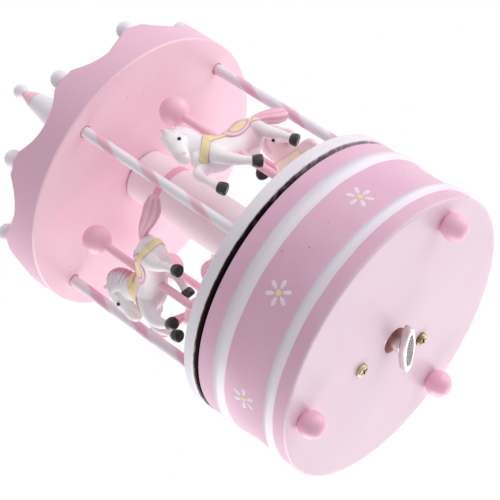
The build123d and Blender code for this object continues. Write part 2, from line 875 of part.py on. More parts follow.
flange_bottom = platform_bottom - flange_thickness
with BuildPart() as drive_flange:
    with BuildSketch(Plane.XY.offset(flange_bottom)):
        Circle(flange_radius)
    extrude(amount=flange_thickness)
    with BuildSketch(Plane.XY.offset(flange_bottom - flange_hub_length)):
        Circle(flange_hub_radius)
    extrude(amount=flange_hub_length)
    with BuildSketch(Plane.XY.offset(flange_bottom - flange_hub_length)):
        Circle(spindle_radius)
    extrude(amount=flange_hub_length + flange_thickness, mode=Mode.SUBTRACT)
    with Locations(*[(x, y, flange_bottom) for x, y, _ in flange_screw_points]):
        Cone(flange_screw_head, flange_screw_radius, flange_thickness, align=seated, mode=Mode.SUBTRACT)
save(drive_flange, "drive_flange")

with BuildPart() as flange_screws:
    with Locations(*[(x, y, flange_bottom) for x, y, _ in flange_screw_points]):
        Cone(flange_screw_head, flange_screw_radius, flange_thickness, align=seated)
    with Locations(*[(x, y, platform_bottom) for x, y, _ in flange_screw_points]):
        Cylinder(flange_screw_radius, flange_screw_grip, align=seated)
save(flange_screws, "flange_screws")

# Platform of the turntable
with BuildPart() as platform:
    with BuildSketch(Plane.XY.offset(platform_bottom)):
        Circle(platform_radius)
    extrude(amount=platform_thickness)
    fillet(platform.edges().filter_by(GeomType.CIRCLE), platform_edge_radius)
    with Locations((0, 0, platform_bottom)):
        Cylinder(spindle_radius, spindle_grip, align=seated, mode=Mode.SUBTRACT)
    with Locations(*[(x, y, platform_bottom) for x, y, _ in flange_screw_points]):
        Cylinder(flange_screw_radius, flange_screw_grip, align=seated, mode=Mode.SUBTRACT)
    with Locations((0, 0, platform_top - column_dowel_platform_grip)):
        Cylinder(column_dowel_radius, column_dowel_platform_grip, align=seated, mode=Mode.SUBTRACT)
    with Locations(*[(x, y, platform_top - pole_platform_grip) for x, y, _ in pole_points]):
        Cylinder(pole_radius, pole_platform_grip, align=seated, mode=Mode.SUBTRACT)
    with Locations(*[(x, y, platform_top - rod_platform_grip) for x, y, _ in rod_points]):
        Cylinder(rod_radius, rod_platform_grip, align=seated, mode=Mode.SUBTRACT)
save(platform, "platform")

# Column with a dowel at each end
with BuildPart() as center_column:
    with BuildSketch(Plane.XY.offset(platform_top)):
        Circle(column_radius)
    extrude(amount=clear_height)
    with Locations((0, 0, platform_top), (0, 0, canopy_bottom - column_dowel_grip)):
        Cylinder(column_dowel_radius, column_dowel_grip, align=seated, mode=Mode.SUBTRACT)
save(center_column, "center_column")

lower_dowel_length = column_dowel_platform_grip + column_dowel_grip
upper_dowel_length = column_dowel_grip + column_dowel_canopy_grip
with BuildPart() as column_dowels:
    with Locations((0, 0, platform_top - column_dowel_platform_grip)):
        Cylinder(column_dowel_radius, lower_dowel_length, align=seated)
    with Locations((0, 0, canopy_bottom - column_dowel_grip)):
        Cylinder(column_dowel_radius, upper_dowel_length, align=seated)
save(column_dowels, "column_dowels")

# Striped poles between platform and canopy
pole_length = pole_platform_grip + clear_height + pole_canopy_grip
for number, (x, y, _) in enumerate(pole_points, start=1):
    foot = Plane(origin=(x, y, platform_top - pole_platform_grip))
    save(rod_piece(foot, pole_radius, pole_length), f"pole_{number}")

# Horse rods and their knobs
rod_length = rod_platform_grip + knob_height - knob_radius + knob_grip
for number, (x, y, _) in enumerate(rod_points, start=1):
    foot = Plane(origin=(x, y, platform_top - rod_platform_grip))
    save(rod_piece(foot, rod_radius, rod_length), f"horse_rod_{number}")
    with BuildPart() as knob:
        with Locations((x, y, platform_top + knob_height)):
            Sphere(knob_radius)
        with Locations((x, y, platform_top + knob_height - knob_radius)):
            Cylinder(rod_radius, knob_grip, align=seated, mode=Mode.SUBTRACT)
    save(knob, f"horse_knob_{number}")

# Horse stations: (forward, sideways, height above the platform, half depth, half width)
# Those of neck, head and ears are for a head that is turned outwards
torso_stations = (
    (-14.6, 0.0, 32.6, 2.2, 2.2),
    (-12.4, 0.0, 32.2, 4.7, 4.3),
    (-8.0, 0.0, 31.5, 6.2, 5.7),
    (-1.0, 0.0, 31.1, 5.9, 5.4),
    (6.0, 0.0, 31.3, 6.4, 5.6),
    (10.8, 0.0, 32.0, 4.8, 4.4),
    (12.8, 0.0, 32.6, 2.2, 2.2),
)
neck_stations = (
    (6.8, 0.0, 32.6, 5.4, 4.4),
    (9.0, 0.6, 37.2, 4.7, 3.8),
    (11.0, 1.4, 41.0, 3.9, 3.2),
    (12.2, 1.9, 44.2, 2.8, 2.6),
)
head_stations = (
    (11.6, 1.9, 46.0, 1.9, 1.8),
    (13.0, 2.5, 43.0, 3.4, 3.0),
    (14.8, 3.2, 39.2, 3.0, 2.6),
    (16.8, 3.1, 35.2, 2.2, 2.1),
    (17.8, 3.0, 33.2, 1.2, 1.3),
)
tail_stations = (
    (-12.6, 0.0, 33.8, 1.6, 1.6),
    (-15.6, -0.2, 34.6, 2.0, 1.9),
    (-19.0, -1.0, 34.0, 2.6, 2.2),
    (-22.8, -2.0, 32.8, 2.7, 2.2),
    (-26.4, -3.2, 32.2, 2.1, 1.7),
    (-29.6, -4.4, 32.8, 0.8, 0.8),
)
saddle_stations = (
    (-9.6, 0.0, 32.8, 5.2, 5.2),
    (-5.0, 0.0, 32.4, 6.0, 6.1),
    (0.6, 0.0, 32.6, 4.9, 5.5),
)
leg_stations = (
    (
        (-9.8, 2.6, 29.8, 3.8, 2.6),
        (-9.4, 3.3, 25.8, 3.0, 2.3),
        (-12.2, 3.4, 21.2, 1.6, 1.5),
        (-13.8, 3.2, 18.0, 1.3, 1.3),
        (-14.8, 3.1, 14.8, 1.8, 1.7),
    ),
    (
        (-9.0, -2.4, 29.8, 3.8, 2.6),
        (-5.6, -3.0, 25.4, 2.9, 2.2),
        (-4.2, -3.1, 21.2, 1.6, 1.5),
        (-1.9, -3.0, 18.4, 1.3, 1.3),
        (0.0, -2.9, 15.4, 1.8, 1.7),
    ),
    (
        (8.2, 2.4, 29.6, 3.4, 2.6),
        (9.6, 4.2, 26.0, 2.7, 2.3),
        (9.8, 5.6, 21.8, 1.9, 1.8),
        (7.2, 6.4, 16.8, 1.4, 1.4),
        (3.8, 6.6, 13.2, 1.8, 1.7),
    ),
    (
        (8.2, -2.0, 29.6, 3.2, 2.5),
        (13.0, -0.6, 28.4, 2.5, 2.1),
        (17.8, 1.0, 25.8, 1.7, 1.6),
        (17.8, 0.8, 21.2, 1.3, 1.3),
        (16.3, 0.4, 16.0, 1.8, 1.7),
    ),
)
mane_outline = ((14.8, 47.6), (11.6, 49.4), (7.4, 47.6), (4.0, 43.4), (2.6, 38.6), (8.0, 37.4), (12.4, 43.4))
mane_thickness = 2.8
mane_offset = 1.1
ear_base = (12.6, 1.5, 45.0)
ear_offset = 2.2
ear_length = 3.4
ear_radius = 1.1
ear_tip_radius = 0.35
head_turns = (1.0, 1.0, 0.0, 0.0)


def station_planes(stations):
    """Section planes square to the line through the stations; sketch x is sideways."""
    planes = []
    for index, station in enumerate(stations):
        before = stations[max(index - 1, 0)]
        after = stations[min(index + 1, len(stations) - 1)]
        heading = (after[0] - before[0], after[1] - before[1], after[2] - before[2])
        planes.append(Plane(origin=station[:3], x_dir=(0, 1, 0), z_dir=heading))
    return planes


def turned_head(stations, turn):
    """Stations with their sideways places scaled by the share that the head is turned outwards."""
    return tuple((x, y * turn, z, depth, width) for x, y, z, depth, width in stations)


def carved_horse(turn):
    """One horse in its own axes, bored for its rod."""
    limbs = (torso_stations, turned_head(neck_stations, turn), turned_head(head_stations, turn))
    limbs = limbs + (tail_stations, saddle_stations) + leg_stations
    ear_x, ear_y, ear_z = ear_base
    with BuildPart() as horse:
        for stations in limbs:
            for plane, station in zip(station_planes(stations), stations):
                with BuildSketch(plane):
                    Ellipse(station[4], station[3])
            loft()
        with BuildSketch(Plane.XZ.offset(-mane_thickness / 2 - mane_offset * turn)):
            with BuildLine():
                Spline(*mane_outline, periodic=True)
            make_face()
        extrude(amount=mane_thickness)
        with Locations(*[(ear_x, ear_offset * turn + side * ear_y, ear_z) for side in (1, -1)]):
            Cone(ear_radius, ear_tip_radius, ear_length, align=seated)
        Cylinder(rod_radius, knob_height, align=seated, mode=Mode.SUBTRACT)
    return horse.part


for number, (angle, turn) in enumerate(zip(horse_angles, head_turns), start=1):
    place = Location(polar_point(rod_circle, angle, platform_top), (0, 0, angle - 90))
    horse_copy = carved_horse(turn).moved(place)
    horse_copy.label = f"horse_{number}"
    export_step(horse_copy, f"parts/horse_{number}.step")

# Canopy: flat underneath, tented on top, with a flute cut between each pair of tips
flute_half_angle = radians(180 / scallop_count) - tip_width / 2 / canopy_radius
flute_half_width = canopy_radius * sin(flute_half_angle)
flute_depth = tip_height - dip_height
flute_radius = (flute_half_width**2 + flute_depth**2) / (2 * flute_depth)
flute_drop = apex_level - dip_level - flute_radius
flute_length = hypot(canopy_radius, flute_drop)
flute_reach = 1.3
with BuildPart() as canopy:
    with BuildSketch(Plane.XZ):
        with BuildLine():
            Polyline(
                (0, canopy_bottom),
                (canopy_radius, canopy_bottom),
                (canopy_radius, tip_level),
                (spire_seat_radius, spire_level),
                (0, spire_level),
                close=True,
            )
        make_face()
    revolve(axis=Axis.Z)
    fillet(canopy.edges().filter_by(GeomType.CIRCLE).sort_by(Axis.Z)[0], canopy_edge_radius)
    for angle in scallop_angles:
        middle = angle + 180 / scallop_count
        heading = polar_point(canopy_radius, middle, -flute_drop)
        with Locations(Plane(origin=(0, 0, apex_level), z_dir=heading)):
            Cone(0, flute_radius * flute_reach, flute_length * flute_reach, align=seated, mode=Mode.SUBTRACT)
    with Locations(*rim_ball_points):
        Sphere(rim_ball_radius, mode=Mode.SUBTRACT)
    with Locations(*[(x, y, canopy_bottom) for x, y, _ in pole_points]):
        Cylinder(pole_radius, pole_canopy_grip, align=seated, mode=Mode.SUBTRACT)
    with Locations((0, 0, canopy_bottom)):
        Cylinder(column_dowel_radius, column_dowel_canopy_grip, align=seated, mode=Mode.SUBTRACT)
    with Locations((0, 0, spire_level - spire_dowel_grip)):
        Cylinder(spire_dowel_radius, spire_dowel_grip, align=seated, mode=Mode.SUBTRACT)
save(canopy, "canopy")

with BuildPart() as rim_balls:
    with Locations(*rim_ball_points):
        Sphere(rim_ball_radius)
save(rim_balls, "rim_balls")

# Spire: two turned cones and a ball threaded on one dowel
spire_ball_level = spire_top_level + spire_ball_radius - spire_ball_sink
spire_dowel_bottom = spire_level - spire_dowel_grip
spire_dowel_length = spire_ball_level - spire_dowel_bottom


def drilled_for_dowel(piece):
    """Cut the dowel's hole through a piece of the spire."""
    with BuildPart() as drilled:
        add(piece.part)
        with Locations((0, 0, spire_dowel_bottom)):
            Cylinder(spire_dowel_radius, spire_dowel_length, align=seated, mode=Mode.SUBTRACT)
    return drilled


with BuildPart() as spire_ball_blank:
    with Locations((0, 0, spire_ball_level)):
        Sphere(spire_ball_radius)

with BuildPart() as spire_cone_blank:
    with Locations((0, 0, spire_cone_level)):
        Cone(spire_cone_foot_radius, spire_cone_top_radius, spire_cone_height, align=seated)
    add(spire_ball_blank.part, mode=Mode.SUBTRACT)

spire_base_blank = turned_piece(
    [
        (0, spire_level),
        (spire_base_foot_radius, spire_level),
        (spire_base_top_radius, spire_cone_level),
        (0, spire_cone_level),
    ]
)
save(drilled_for_dowel(spire_base_blank), "spire_base")
save(drilled_for_dowel(spire_cone_blank), "spire_cone")
save(drilled_for_dowel(spire_ball_blank), "spire_ball")
save(rod_piece(Plane.XY.offset(spire_dowel_bottom), spire_dowel_radius, spire_dowel_length), "spire_dowel")

print(f"base radius {base_radius:.2f}, base top {base_top:.2f}, platform top {platform_top:.2f}")
print(f"canopy underside {canopy_bottom:.2f}, overall height {spire_ball_level + spire_ball_radius:.2f}")
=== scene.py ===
"""Looks of a wind-up carousel music box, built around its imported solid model.

Sizes in the classes are millimetres in the frame of the solid model: +Z is up and the origin lies on
the turning axis at the level of the table. Meshes are made in metres.
"""

from __future__ import annotations

import logging
from dataclasses import dataclass, field
from enum import Enum
from typing import Any, Sequence

import bmesh
import bpy
import numpy as np
from mathutils import Matrix

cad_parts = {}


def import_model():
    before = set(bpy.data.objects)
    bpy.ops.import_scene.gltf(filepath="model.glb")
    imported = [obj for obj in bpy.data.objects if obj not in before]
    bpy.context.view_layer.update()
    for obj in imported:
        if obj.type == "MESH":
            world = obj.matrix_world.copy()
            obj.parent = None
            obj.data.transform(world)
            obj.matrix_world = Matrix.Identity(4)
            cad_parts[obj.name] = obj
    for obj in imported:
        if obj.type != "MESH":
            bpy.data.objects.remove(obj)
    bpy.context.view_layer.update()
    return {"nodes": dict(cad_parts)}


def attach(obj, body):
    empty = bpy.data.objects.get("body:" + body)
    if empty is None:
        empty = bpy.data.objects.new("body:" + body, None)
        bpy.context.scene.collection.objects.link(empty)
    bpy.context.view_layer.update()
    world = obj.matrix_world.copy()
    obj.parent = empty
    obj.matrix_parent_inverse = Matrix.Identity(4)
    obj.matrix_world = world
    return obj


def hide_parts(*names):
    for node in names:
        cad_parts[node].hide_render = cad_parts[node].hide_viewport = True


log = logging.getLogger("music_box")

Colour = tuple[float, float, float, float]
Point = tuple[float, float, float]

MM = 0.001
TURN = 2 * np.pi
TINY = 1e-9
SAME_POINT = 1e-4  # points of a profile closer than this, in millimetres, are one
NEARLY_HALF = 0.48  # longest rounding as a share of a side, so that two roundings never meet
EDGE_REACH = 0.6  # distance in millimetres over which the edge mark fades
MERGE_DISTANCE = 2e-6  # points closer than this, in metres, become one
BALL_ROWS, BALL_SIDES = 25, 40


def srgb(red: int, green: int, blue: int) -> Colour:
    """Turn a colour in screen values into the linear values that a shader takes.

    Args:
        red: red from 0 to 255.
        green: green from 0 to 255.
        blue: blue from 0 to 255.

    Returns:
        The linear colour with an alpha of 1.
    """
    share = np.array([red, green, blue]) / 255
    linear = np.where(share <= 0.04045, share / 12.92, ((share + 0.055) / 1.055) ** 2.4)
    return (float(linear[0]), float(linear[1]), float(linear[2]), 1.0)


# Surfaces


@dataclass
class Patch:
    """One grid of points with its own texture coordinates, material place and surface marks."""

    points: np.ndarray
    uv: np.ndarray
    material: int = 0
    marks: dict[str, np.ndarray] = field(default_factory=dict)

    def moved(self, place: np.ndarray) -> Patch:
        """Give the same patch carried by a 4 by 4 matrix in millimetres.

        Args:
            place: rotation and shift.

        Returns:
            The moved patch.
        """
        points = self.points @ place[:3, :3].T + place[:3, 3]
        return Patch(points, self.uv, self.material, self.marks)


def placement(x: float, y: float, z: float, turn: float = 0.0) -> np.ndarray:
    """Matrix that turns about the upright axis and then shifts.

    Args:
        x: shift along X in millimetres.
        y: shift along Y in millimetres.
        z: shift along Z in millimetres.
        turn: angle in degrees.

    Returns:
        The 4 by 4 matrix.
    """
    c, s = np.cos(np.radians(turn)), np.sin(np.radians(turn))
    return np.array([[c, -s, 0, x], [s, c, 0, y], [0, 0, 1, z], [0, 0, 0, 1.0]])


def on_circle(radius: float, first: float, count: int) -> np.ndarray:
    """Evenly spaced places on a circle.

    Args:
        radius: radius of the circle in millimetres.
        first: angle of the first place in degrees.
        count: number of places.

    Returns:
        Rows of x, y and the angle in degrees.
    """
    angles = first + np.arange(count) * 360 / count
    turn = np.radians(angles)
    return np.stack([radius * np.cos(turn), radius * np.sin(turn), angles], axis=1)


def rounded(corners: Sequence[Point], steps: int = 6) -> np.ndarray:
    """Profile with its corners rounded: each corner becomes a parabola between two points on its sides.

    Args:
        corners: rows of radius, height and rounding length in millimetres.
        steps: points on each rounded corner.

    Returns:
        Rows of radius and height.
    """
    rows = np.array(corners, float)
    here, cut = rows[:, :2], rows[:, 2]
    before = np.vstack([here[:1], here[:-1]]) - here
    after = np.vstack([here[1:], here[-1:]]) - here
    length_before = np.maximum(np.linalg.norm(before, axis=1), TINY)
    length_after = np.maximum(np.linalg.norm(after, axis=1), TINY)
    start = here + before * (np.minimum(cut, NEARLY_HALF * length_before) / length_before)[:, None]
    end = here + after * (np.minimum(cut, NEARLY_HALF * length_after) / length_after)[:, None]
    t = np.linspace(0, 1, steps)[None, :, None]
    curve = (1 - t) ** 2 * start[:, None] + 2 * t * (1 - t) * here[:, None] + t**2 * end[:, None]
    flat = curve.reshape(-1, 2)
    keep = np.ones(len(flat), bool)
    keep[1:] = np.linalg.norm(np.diff(flat, axis=0), axis=1) > SAME_POINT
    return flat[keep]


def refined(profile: np.ndarray, step: float) -> np.ndarray:
    """Profile with points added so that no two neighbours are further apart than a step.

    Args:
        profile: rows of radius and height.
        step: largest spacing in millimetres.

    Returns:
        The denser profile.
    """
    run = np.concatenate([[0], np.cumsum(np.linalg.norm(np.diff(profile, axis=0), axis=1))])
    extra = np.arange(0, run[-1], step)
    places = np.union1d(run, extra)
    return np.stack([np.interp(places, run, profile[:, 0]), np.interp(places, run, profile[:, 1])], axis=1)


def turned(profile: np.ndarray, sides: int) -> Patch:
    """Surface of revolution: each profile point (r, z) goes to (r cos a, r sin a, z).

    Its mark named edge is 1 where the profile bends sharply and fades away from there.

    Args:
        profile: rows of radius and height in millimetres.
        sides: number of steps round the axis.

    Returns:
        The patch.
    """
    angle = np.linspace(0, TURN, sides + 1)
    radius, height = profile[:, :1], profile[:, 1:]
    points = np.stack([radius * np.cos(angle), radius * np.sin(angle), height + 0 * angle], axis=-1)
    steps = np.diff(profile, axis=0)
    run = np.concatenate([[0], np.cumsum(np.linalg.norm(steps, axis=1))])
    heading = np.unwrap(np.arctan2(steps[:, 1], steps[:, 0]))
    bend = np.zeros(len(profile))
    bend[1:-1] = np.abs(np.diff(heading))
    near = np.exp(-(((run[:, None] - run[None, :]) / EDGE_REACH) ** 2))
    edge = np.clip(near @ bend, 0, 1)
    uv = np.stack(np.broadcast_arrays(angle[None, :] / TURN, run[:, None] * MM), axis=-1)
    return Patch(points, uv, marks={"edge": np.repeat(edge[:, None], sides + 1, axis=1)})


def ball(radius: float, low: float = -90.0, high: float = 90.0) -> Patch:
    """Sphere about the origin, cut flat at the latitudes low and high.

    Args:
        radius: radius in millimetres.
        low: latitude of the lower cut in degrees.
        high: latitude of the upper cut in degrees.

    Returns:
        The patch.
    """
    latitude = np.radians(np.linspace(low, high, BALL_ROWS))
    arc = np.stack([radius * np.cos(latitude), radius * np.sin(latitude)], axis=1)
    profile = np.vstack([[[0, arc[0, 1]]], arc, [[0, arc[-1, 1]]]])
    return turned(profile, BALL_SIDES)


def piece(name: str, patches: Sequence[Patch], materials: Sequence[bpy.types.Material]) -> bpy.types.Object:
    """Make one smooth object of several patches; points that meet are merged and faces turned outwards.

    Args:
        name: name of the object.
        patches: the patches, in millimetres.
        materials: the materials by place.

    Returns:
        The object, linked to the scene at the origin.
    """
    names = sorted({mark for patch in patches for mark in patch.marks})
    faces, index, shift = [], [], 0
    for patch in patches:
        rows, columns = patch.points.shape[:2]
        ids = shift + np.arange(rows * columns).reshape(rows, columns)
        quads = np.stack([ids[:-1, :-1], ids[:-1, 1:], ids[1:, 1:], ids[1:, :-1]], axis=-1).reshape(-1, 4)
        faces.append(quads)
        index.append(np.full(len(quads), patch.material))
        shift += rows * columns
    points = np.concatenate([patch.points.reshape(-1, 3) for patch in patches]) * MM
    uv = np.concatenate([patch.uv.reshape(-1, 2) for patch in patches])
    quads = np.concatenate(faces)
    mesh = bpy.data.meshes.new(name)
    mesh.from_pydata(points.tolist(), [], quads.tolist())
    layer = mesh.uv_layers.new(name="run")
    layer.data.foreach_set("uv", uv[quads.ravel()].astype(np.float32).ravel())
    mesh.polygons.foreach_set("material_index", np.concatenate(index).astype(np.int32))
    for mark in names:
        values = [patch.marks.get(mark, np.zeros(patch.points.shape[:2])).ravel() for patch in patches]
        store = mesh.attributes.new(mark, "FLOAT", "POINT")
        store.data.foreach_set("value", np.concatenate(values).astype(np.float32))
    shell = bmesh.new()
    shell.from_mesh(mesh)
    bmesh.ops.remove_doubles(shell, verts=shell.verts, dist=MERGE_DISTANCE)
    bmesh.ops.recalc_face_normals(shell, faces=shell.faces)
    shell.to_mesh(mesh)
    shell.free()
    mesh.polygons.foreach_set("use_smooth", np.ones(len(mesh.polygons), bool))
    for material in materials:
        mesh.materials.append(material)
    thing = bpy.data.objects.new(name, mesh)
    bpy.context.scene.collection.objects.link(thing)
    return thing


def fit(thing: bpy.types.Object, body: str, slot: str, *nodes: str) -> None:
    """Tie a finished piece to its body and hide the nodes that it stands for.

    Args:
        thing: the finished object.
        body: body that it rides on.
        slot: name of a material slot; not used.
        nodes: nodes that it replaces.
    """
    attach(thing, body)
    if nodes:
        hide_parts(*nodes)
    log.info("%s rides on %s with %d faces", thing.name, body, len(thing.data.polygons))


# Finishes


class Tree:
    """A node tree with short calls that add nodes and join them."""

    def __init__(self, tree: bpy.types.NodeTree) -> None:
        """Keep the tree to work on."""
        self.tree = tree

    def add(self, kind: str, inputs: dict[Any, Any] | None = None, **settings: Any) -> bpy.types.Node:
        """Add a node, set its properties, and set or join its inputs.

        Args:
            kind: class name of the node.
            inputs: values or sockets by input name or number.
            settings: properties of the node.

        Returns:
            The node.
        """
        node = self.tree.nodes.new(kind)
        for name, value in settings.items():
            setattr(node, name, value)
        for name, value in (inputs or {}).items():
            if isinstance(value, bpy.types.NodeSocket):
                self.join(value, node.inputs[name])
            else:
                node.inputs[name].default_value = value
        return node

    def join(self, source: bpy.types.NodeSocket, target: bpy.types.NodeSocket) -> None:
        """Link an output socket to an input socket."""
        self.tree.links.new(source, target)

    def sum(self, operation: str, *values: Any) -> bpy.types.NodeSocket:
        """Work out one Math node.

        Args:
            operation: its operation.
            values: values or sockets.

        Returns:
            The result socket.
        """
        return self.add("ShaderNodeMath", dict(enumerate(values)), operation=operation).outputs[0]

    def mix(self, share: Any, first: Any, second: Any) -> bpy.types.NodeSocket:
        """Mix two colours.

        Args:
            share: share of the second colour.
            first: first colour.
            second: second colour.

        Returns:
            The mixed colour socket.
        """
        node = self.add("ShaderNodeMix", {0: share, 6: first, 7: second}, data_type="RGBA")
        return node.outputs[2]

    def between(self, value: Any, low: float, high: float) -> bpy.types.NodeSocket:
        """Give 0 below low, 1 above high and a smooth step between; low may be the larger of the two.

        Args:
            value: value or socket.
            low: value that gives 0.
            high: value that gives 1.

        Returns:
            The result socket.
        """
        inputs = {"Value": value, "From Min": low, "From Max": high}
        node = self.add("ShaderNodeMapRange", inputs, interpolation_type="SMOOTHSTEP")
        return node.outputs["Result"]

    def noise(self, vector: Any, scale: float, detail: float = 2.0) -> bpy.types.NodeSocket:
        """Give smooth noise between 0 and 1.

        Args:
            vector: coordinates socket.
            scale: repeats in a metre.
            detail: layers of finer noise.

        Returns:
            The value socket.
        """
        inputs = {"Vector": vector, "Scale": scale, "Detail": detail}
        return self.add("ShaderNodeTexNoise", inputs).outputs[0]

    def waver(self, vector: Any, scale: float, detail: float, span: float) -> bpy.types.NodeSocket:
        """Give smooth noise that spreads evenly to both sides of 0.

        Args:
            vector: coordinates socket.
            scale: repeats in a metre.
            detail: layers of finer noise.
            span: whole spread of the values.

        Returns:
            The value socket.
        """
        return self.sum("MULTIPLY_ADD", self.noise(vector, scale, detail), span, -span / 2)

    def height(self, vector: Any) -> bpy.types.NodeSocket:
        """Give the upright part of coordinates."""
        return self.add("ShaderNodeSeparateXYZ", {0: vector}).outputs["Z"]

    def stretched(self, vector: Any, scale: Point) -> bpy.types.NodeSocket:
        """Multiply coordinates by three factors.

        Args:
            vector: coordinates socket.
            scale: factor of each axis.

        Returns:
            The new coordinates socket.
        """
        return self.add("ShaderNodeMapping", {"Vector": vector, "Scale": scale}).outputs[0]

    def mark(self, name: str) -> bpy.types.NodeSocket:
        """Read a surface mark that the mesh carries."""
        return self.add("ShaderNodeAttribute", attribute_name=name).outputs["Fac"]


class Effects:
    """Shader node groups that several finishes share; scales are repeats in a metre."""

    groups: dict[str, bpy.types.NodeTree] = {}
    cloud_scale: float = 55
    speck_scale: float = 260.0
    speck_gate_scale: float = 90
    speck: Colour = srgb(120, 92, 98)
    brush_lines: Point = (60, 60, 1400)
    brush_share: float = 0.6
    peel_scale: float = 900
    rub_scale: float = 240
    scratches: Point = (90, 2400, 300)
    polish_scale: float = 160

    @classmethod
    def group(
        cls, name: str, inputs: Sequence[tuple[str, str]], outputs: Sequence[tuple[str, str]]
    ) -> tuple[Tree, bpy.types.Node, bpy.types.Node]:
        """Start a group with named sockets.

        Args:
            name: name of the group.
            inputs: name and kind of each input.
            outputs: name and kind of each output.

        Returns:
            The tree, its input node and its output node.
        """
        made = bpy.data.node_groups.new(name, "ShaderNodeTree")
        for label, kind in inputs:
            made.interface.new_socket(label, in_out="INPUT", socket_type=f"NodeSocket{kind}")
        for label, kind in outputs:
            made.interface.new_socket(label, in_out="OUTPUT", socket_type=f"NodeSocket{kind}")
        cls.groups[name] = made
        tree = Tree(made)
        return tree, tree.add("NodeGroupInput"), tree.add("NodeGroupOutput")

    @classmethod
    def use(cls, tree: Tree, name: str, inputs: dict[str, Any]) -> Any:
        """Place a group in a material.

        Args:
            tree: tree of the material.
            name: name of the group.
            inputs: values or sockets by input name.

        Returns:
            The outputs of the placed group.
        """
        return tree.add("ShaderNodeGroup", inputs, node_tree=cls.groups[name]).outputs

    @classmethod
    def build(cls) -> None:
        """Make every shared effect once."""
        cls.paint_film()
        cls.edge_wear_and_light()
        cls.machined_face()

    @classmethod
    def paint_film(cls) -> None:
        """Brushed enamel: cloudy tone, a few dust specks, faint brush lines and orange peel."""
        tree, given, result = cls.group(
            "paint_film",
            [("Vector", "Vector"), ("Colour", "Color"), ("Thin colour", "Color"), ("Cloud", "Float"),
             ("Specks", "Float"), ("Gloss", "Float")],
            [("Colour", "Color"), ("Roughness", "Float"), ("Height", "Float")],
        )
        vector = given.outputs["Vector"]
        cloud = tree.between(tree.noise(vector, cls.cloud_scale, 4), 0.3, 0.72)
        toned = tree.mix(tree.sum("MULTIPLY", cloud, given.outputs["Cloud"]),
                         given.outputs["Colour"], given.outputs["Thin colour"])
        cells = tree.add("ShaderNodeTexVoronoi", {"Vector": vector, "Scale": cls.speck_scale})
        dot = tree.between(cells.outputs["Distance"], 0.10, 0.05)
        gate = tree.between(tree.noise(vector, cls.speck_gate_scale), 0.58, 0.66)
        speck = tree.sum("MULTIPLY", tree.sum("MULTIPLY", dot, gate), given.outputs["Specks"])
        colour = tree.mix(speck, toned, cls.speck)
        lines = tree.noise(tree.stretched(vector, cls.brush_lines), 1, 3)
        peel = tree.noise(vector, cls.peel_scale, 2)
        height = tree.sum("MULTIPLY_ADD", lines, cls.brush_share, tree.sum("MULTIPLY", peel, 1 - cls.brush_share))
        rough = tree.sum("MULTIPLY_ADD", cloud, 0.1, given.outputs["Gloss"])
        tree.join(colour, result.inputs["Colour"])
        tree.join(rough, result.inputs["Roughness"])
        tree.join(height, result.inputs["Height"])

    @classmethod
    def edge_wear_and_light(cls) -> None:
        """Wear and painted light along the edges: the edge mark broken up by noise."""
        tree, given, result = cls.group(
            "edge_wear_and_light", [("Vector", "Vector"), ("Edge", "Float"), ("Amount", "Float")], [("Mask", "Float")]
        )
        broken = tree.sum("ADD", tree.noise(given.outputs["Vector"], cls.rub_scale, 4), given.outputs["Amount"])
        mask = tree.between(tree.sum("MULTIPLY", broken, given.outputs["Edge"]), 0.62, 0.8)
        tree.join(mask, result.inputs["Mask"])

    @classmethod
    def machined_face(cls) -> None:
        """Metal surface: fine scratches and a cloudy change of polish."""
        tree, given, result = cls.group(
            "machined_face", [("Vector", "Vector"), ("Gloss", "Float"), ("Scratch", "Float")],
            [("Tone", "Float"), ("Roughness", "Float"), ("Height", "Float")],
        )
        vector = given.outputs["Vector"]
        lines = tree.noise(tree.stretched(vector, cls.scratches), 1, 3)
        cloud = tree.noise(vector, cls.polish_scale, 3)
        height = tree.sum("MULTIPLY", lines, given.outputs["Scratch"])
        rough = tree.sum("MULTIPLY_ADD", cloud, 0.16, given.outputs["Gloss"])
        tree.join(tree.between(cloud, 0.3, 0.7), result.inputs["Tone"])
        tree.join(rough, result.inputs["Roughness"])
        tree.join(height, result.inputs["Height"])


@dataclass(frozen=True)
class Finish:
    """Base of the finishes: a material with one surface shader, and its bump's strength and depth in millimetres."""

    name: str
    bump: float = field(default=0.2, kw_only=True)
    depth: float = field(default=0.1, kw_only=True)

    def start(self) -> tuple[bpy.types.Material, Tree, bpy.types.Node, bpy.types.NodeSocket]:
        """Make the material.

        Returns:
            The material, its tree, its surface shader and its object coordinates.
        """
        material = bpy.data.materials.new(self.name)
        material.use_nodes = True
        tree = Tree(material.node_tree)
        surface = material.node_tree.nodes["Principled BSDF"]
        vector = tree.add("ShaderNodeTexCoord").outputs["Object"]
        return material, tree, surface, vector

    def dress(self, tree: Tree, surface: bpy.types.Node, colour: Any, rough: Any, height: Any) -> None:
        """Join colour, roughness and the height of the bump to the surface shader.

        Args:
            tree: tree of the material.
            surface: surface shader.
            colour: colour socket.
            rough: roughness socket.
            height: height socket.
        """
        tree.join(colour, surface.inputs["Base Color"])
        tree.join(rough, surface.inputs["Roughness"])
        bump = tree.add("ShaderNodeBump", {"Height": height, "Strength": self.bump, "Distance": self.depth * MM})
        tree.join(bump.outputs[0], surface.inputs["Normal"])


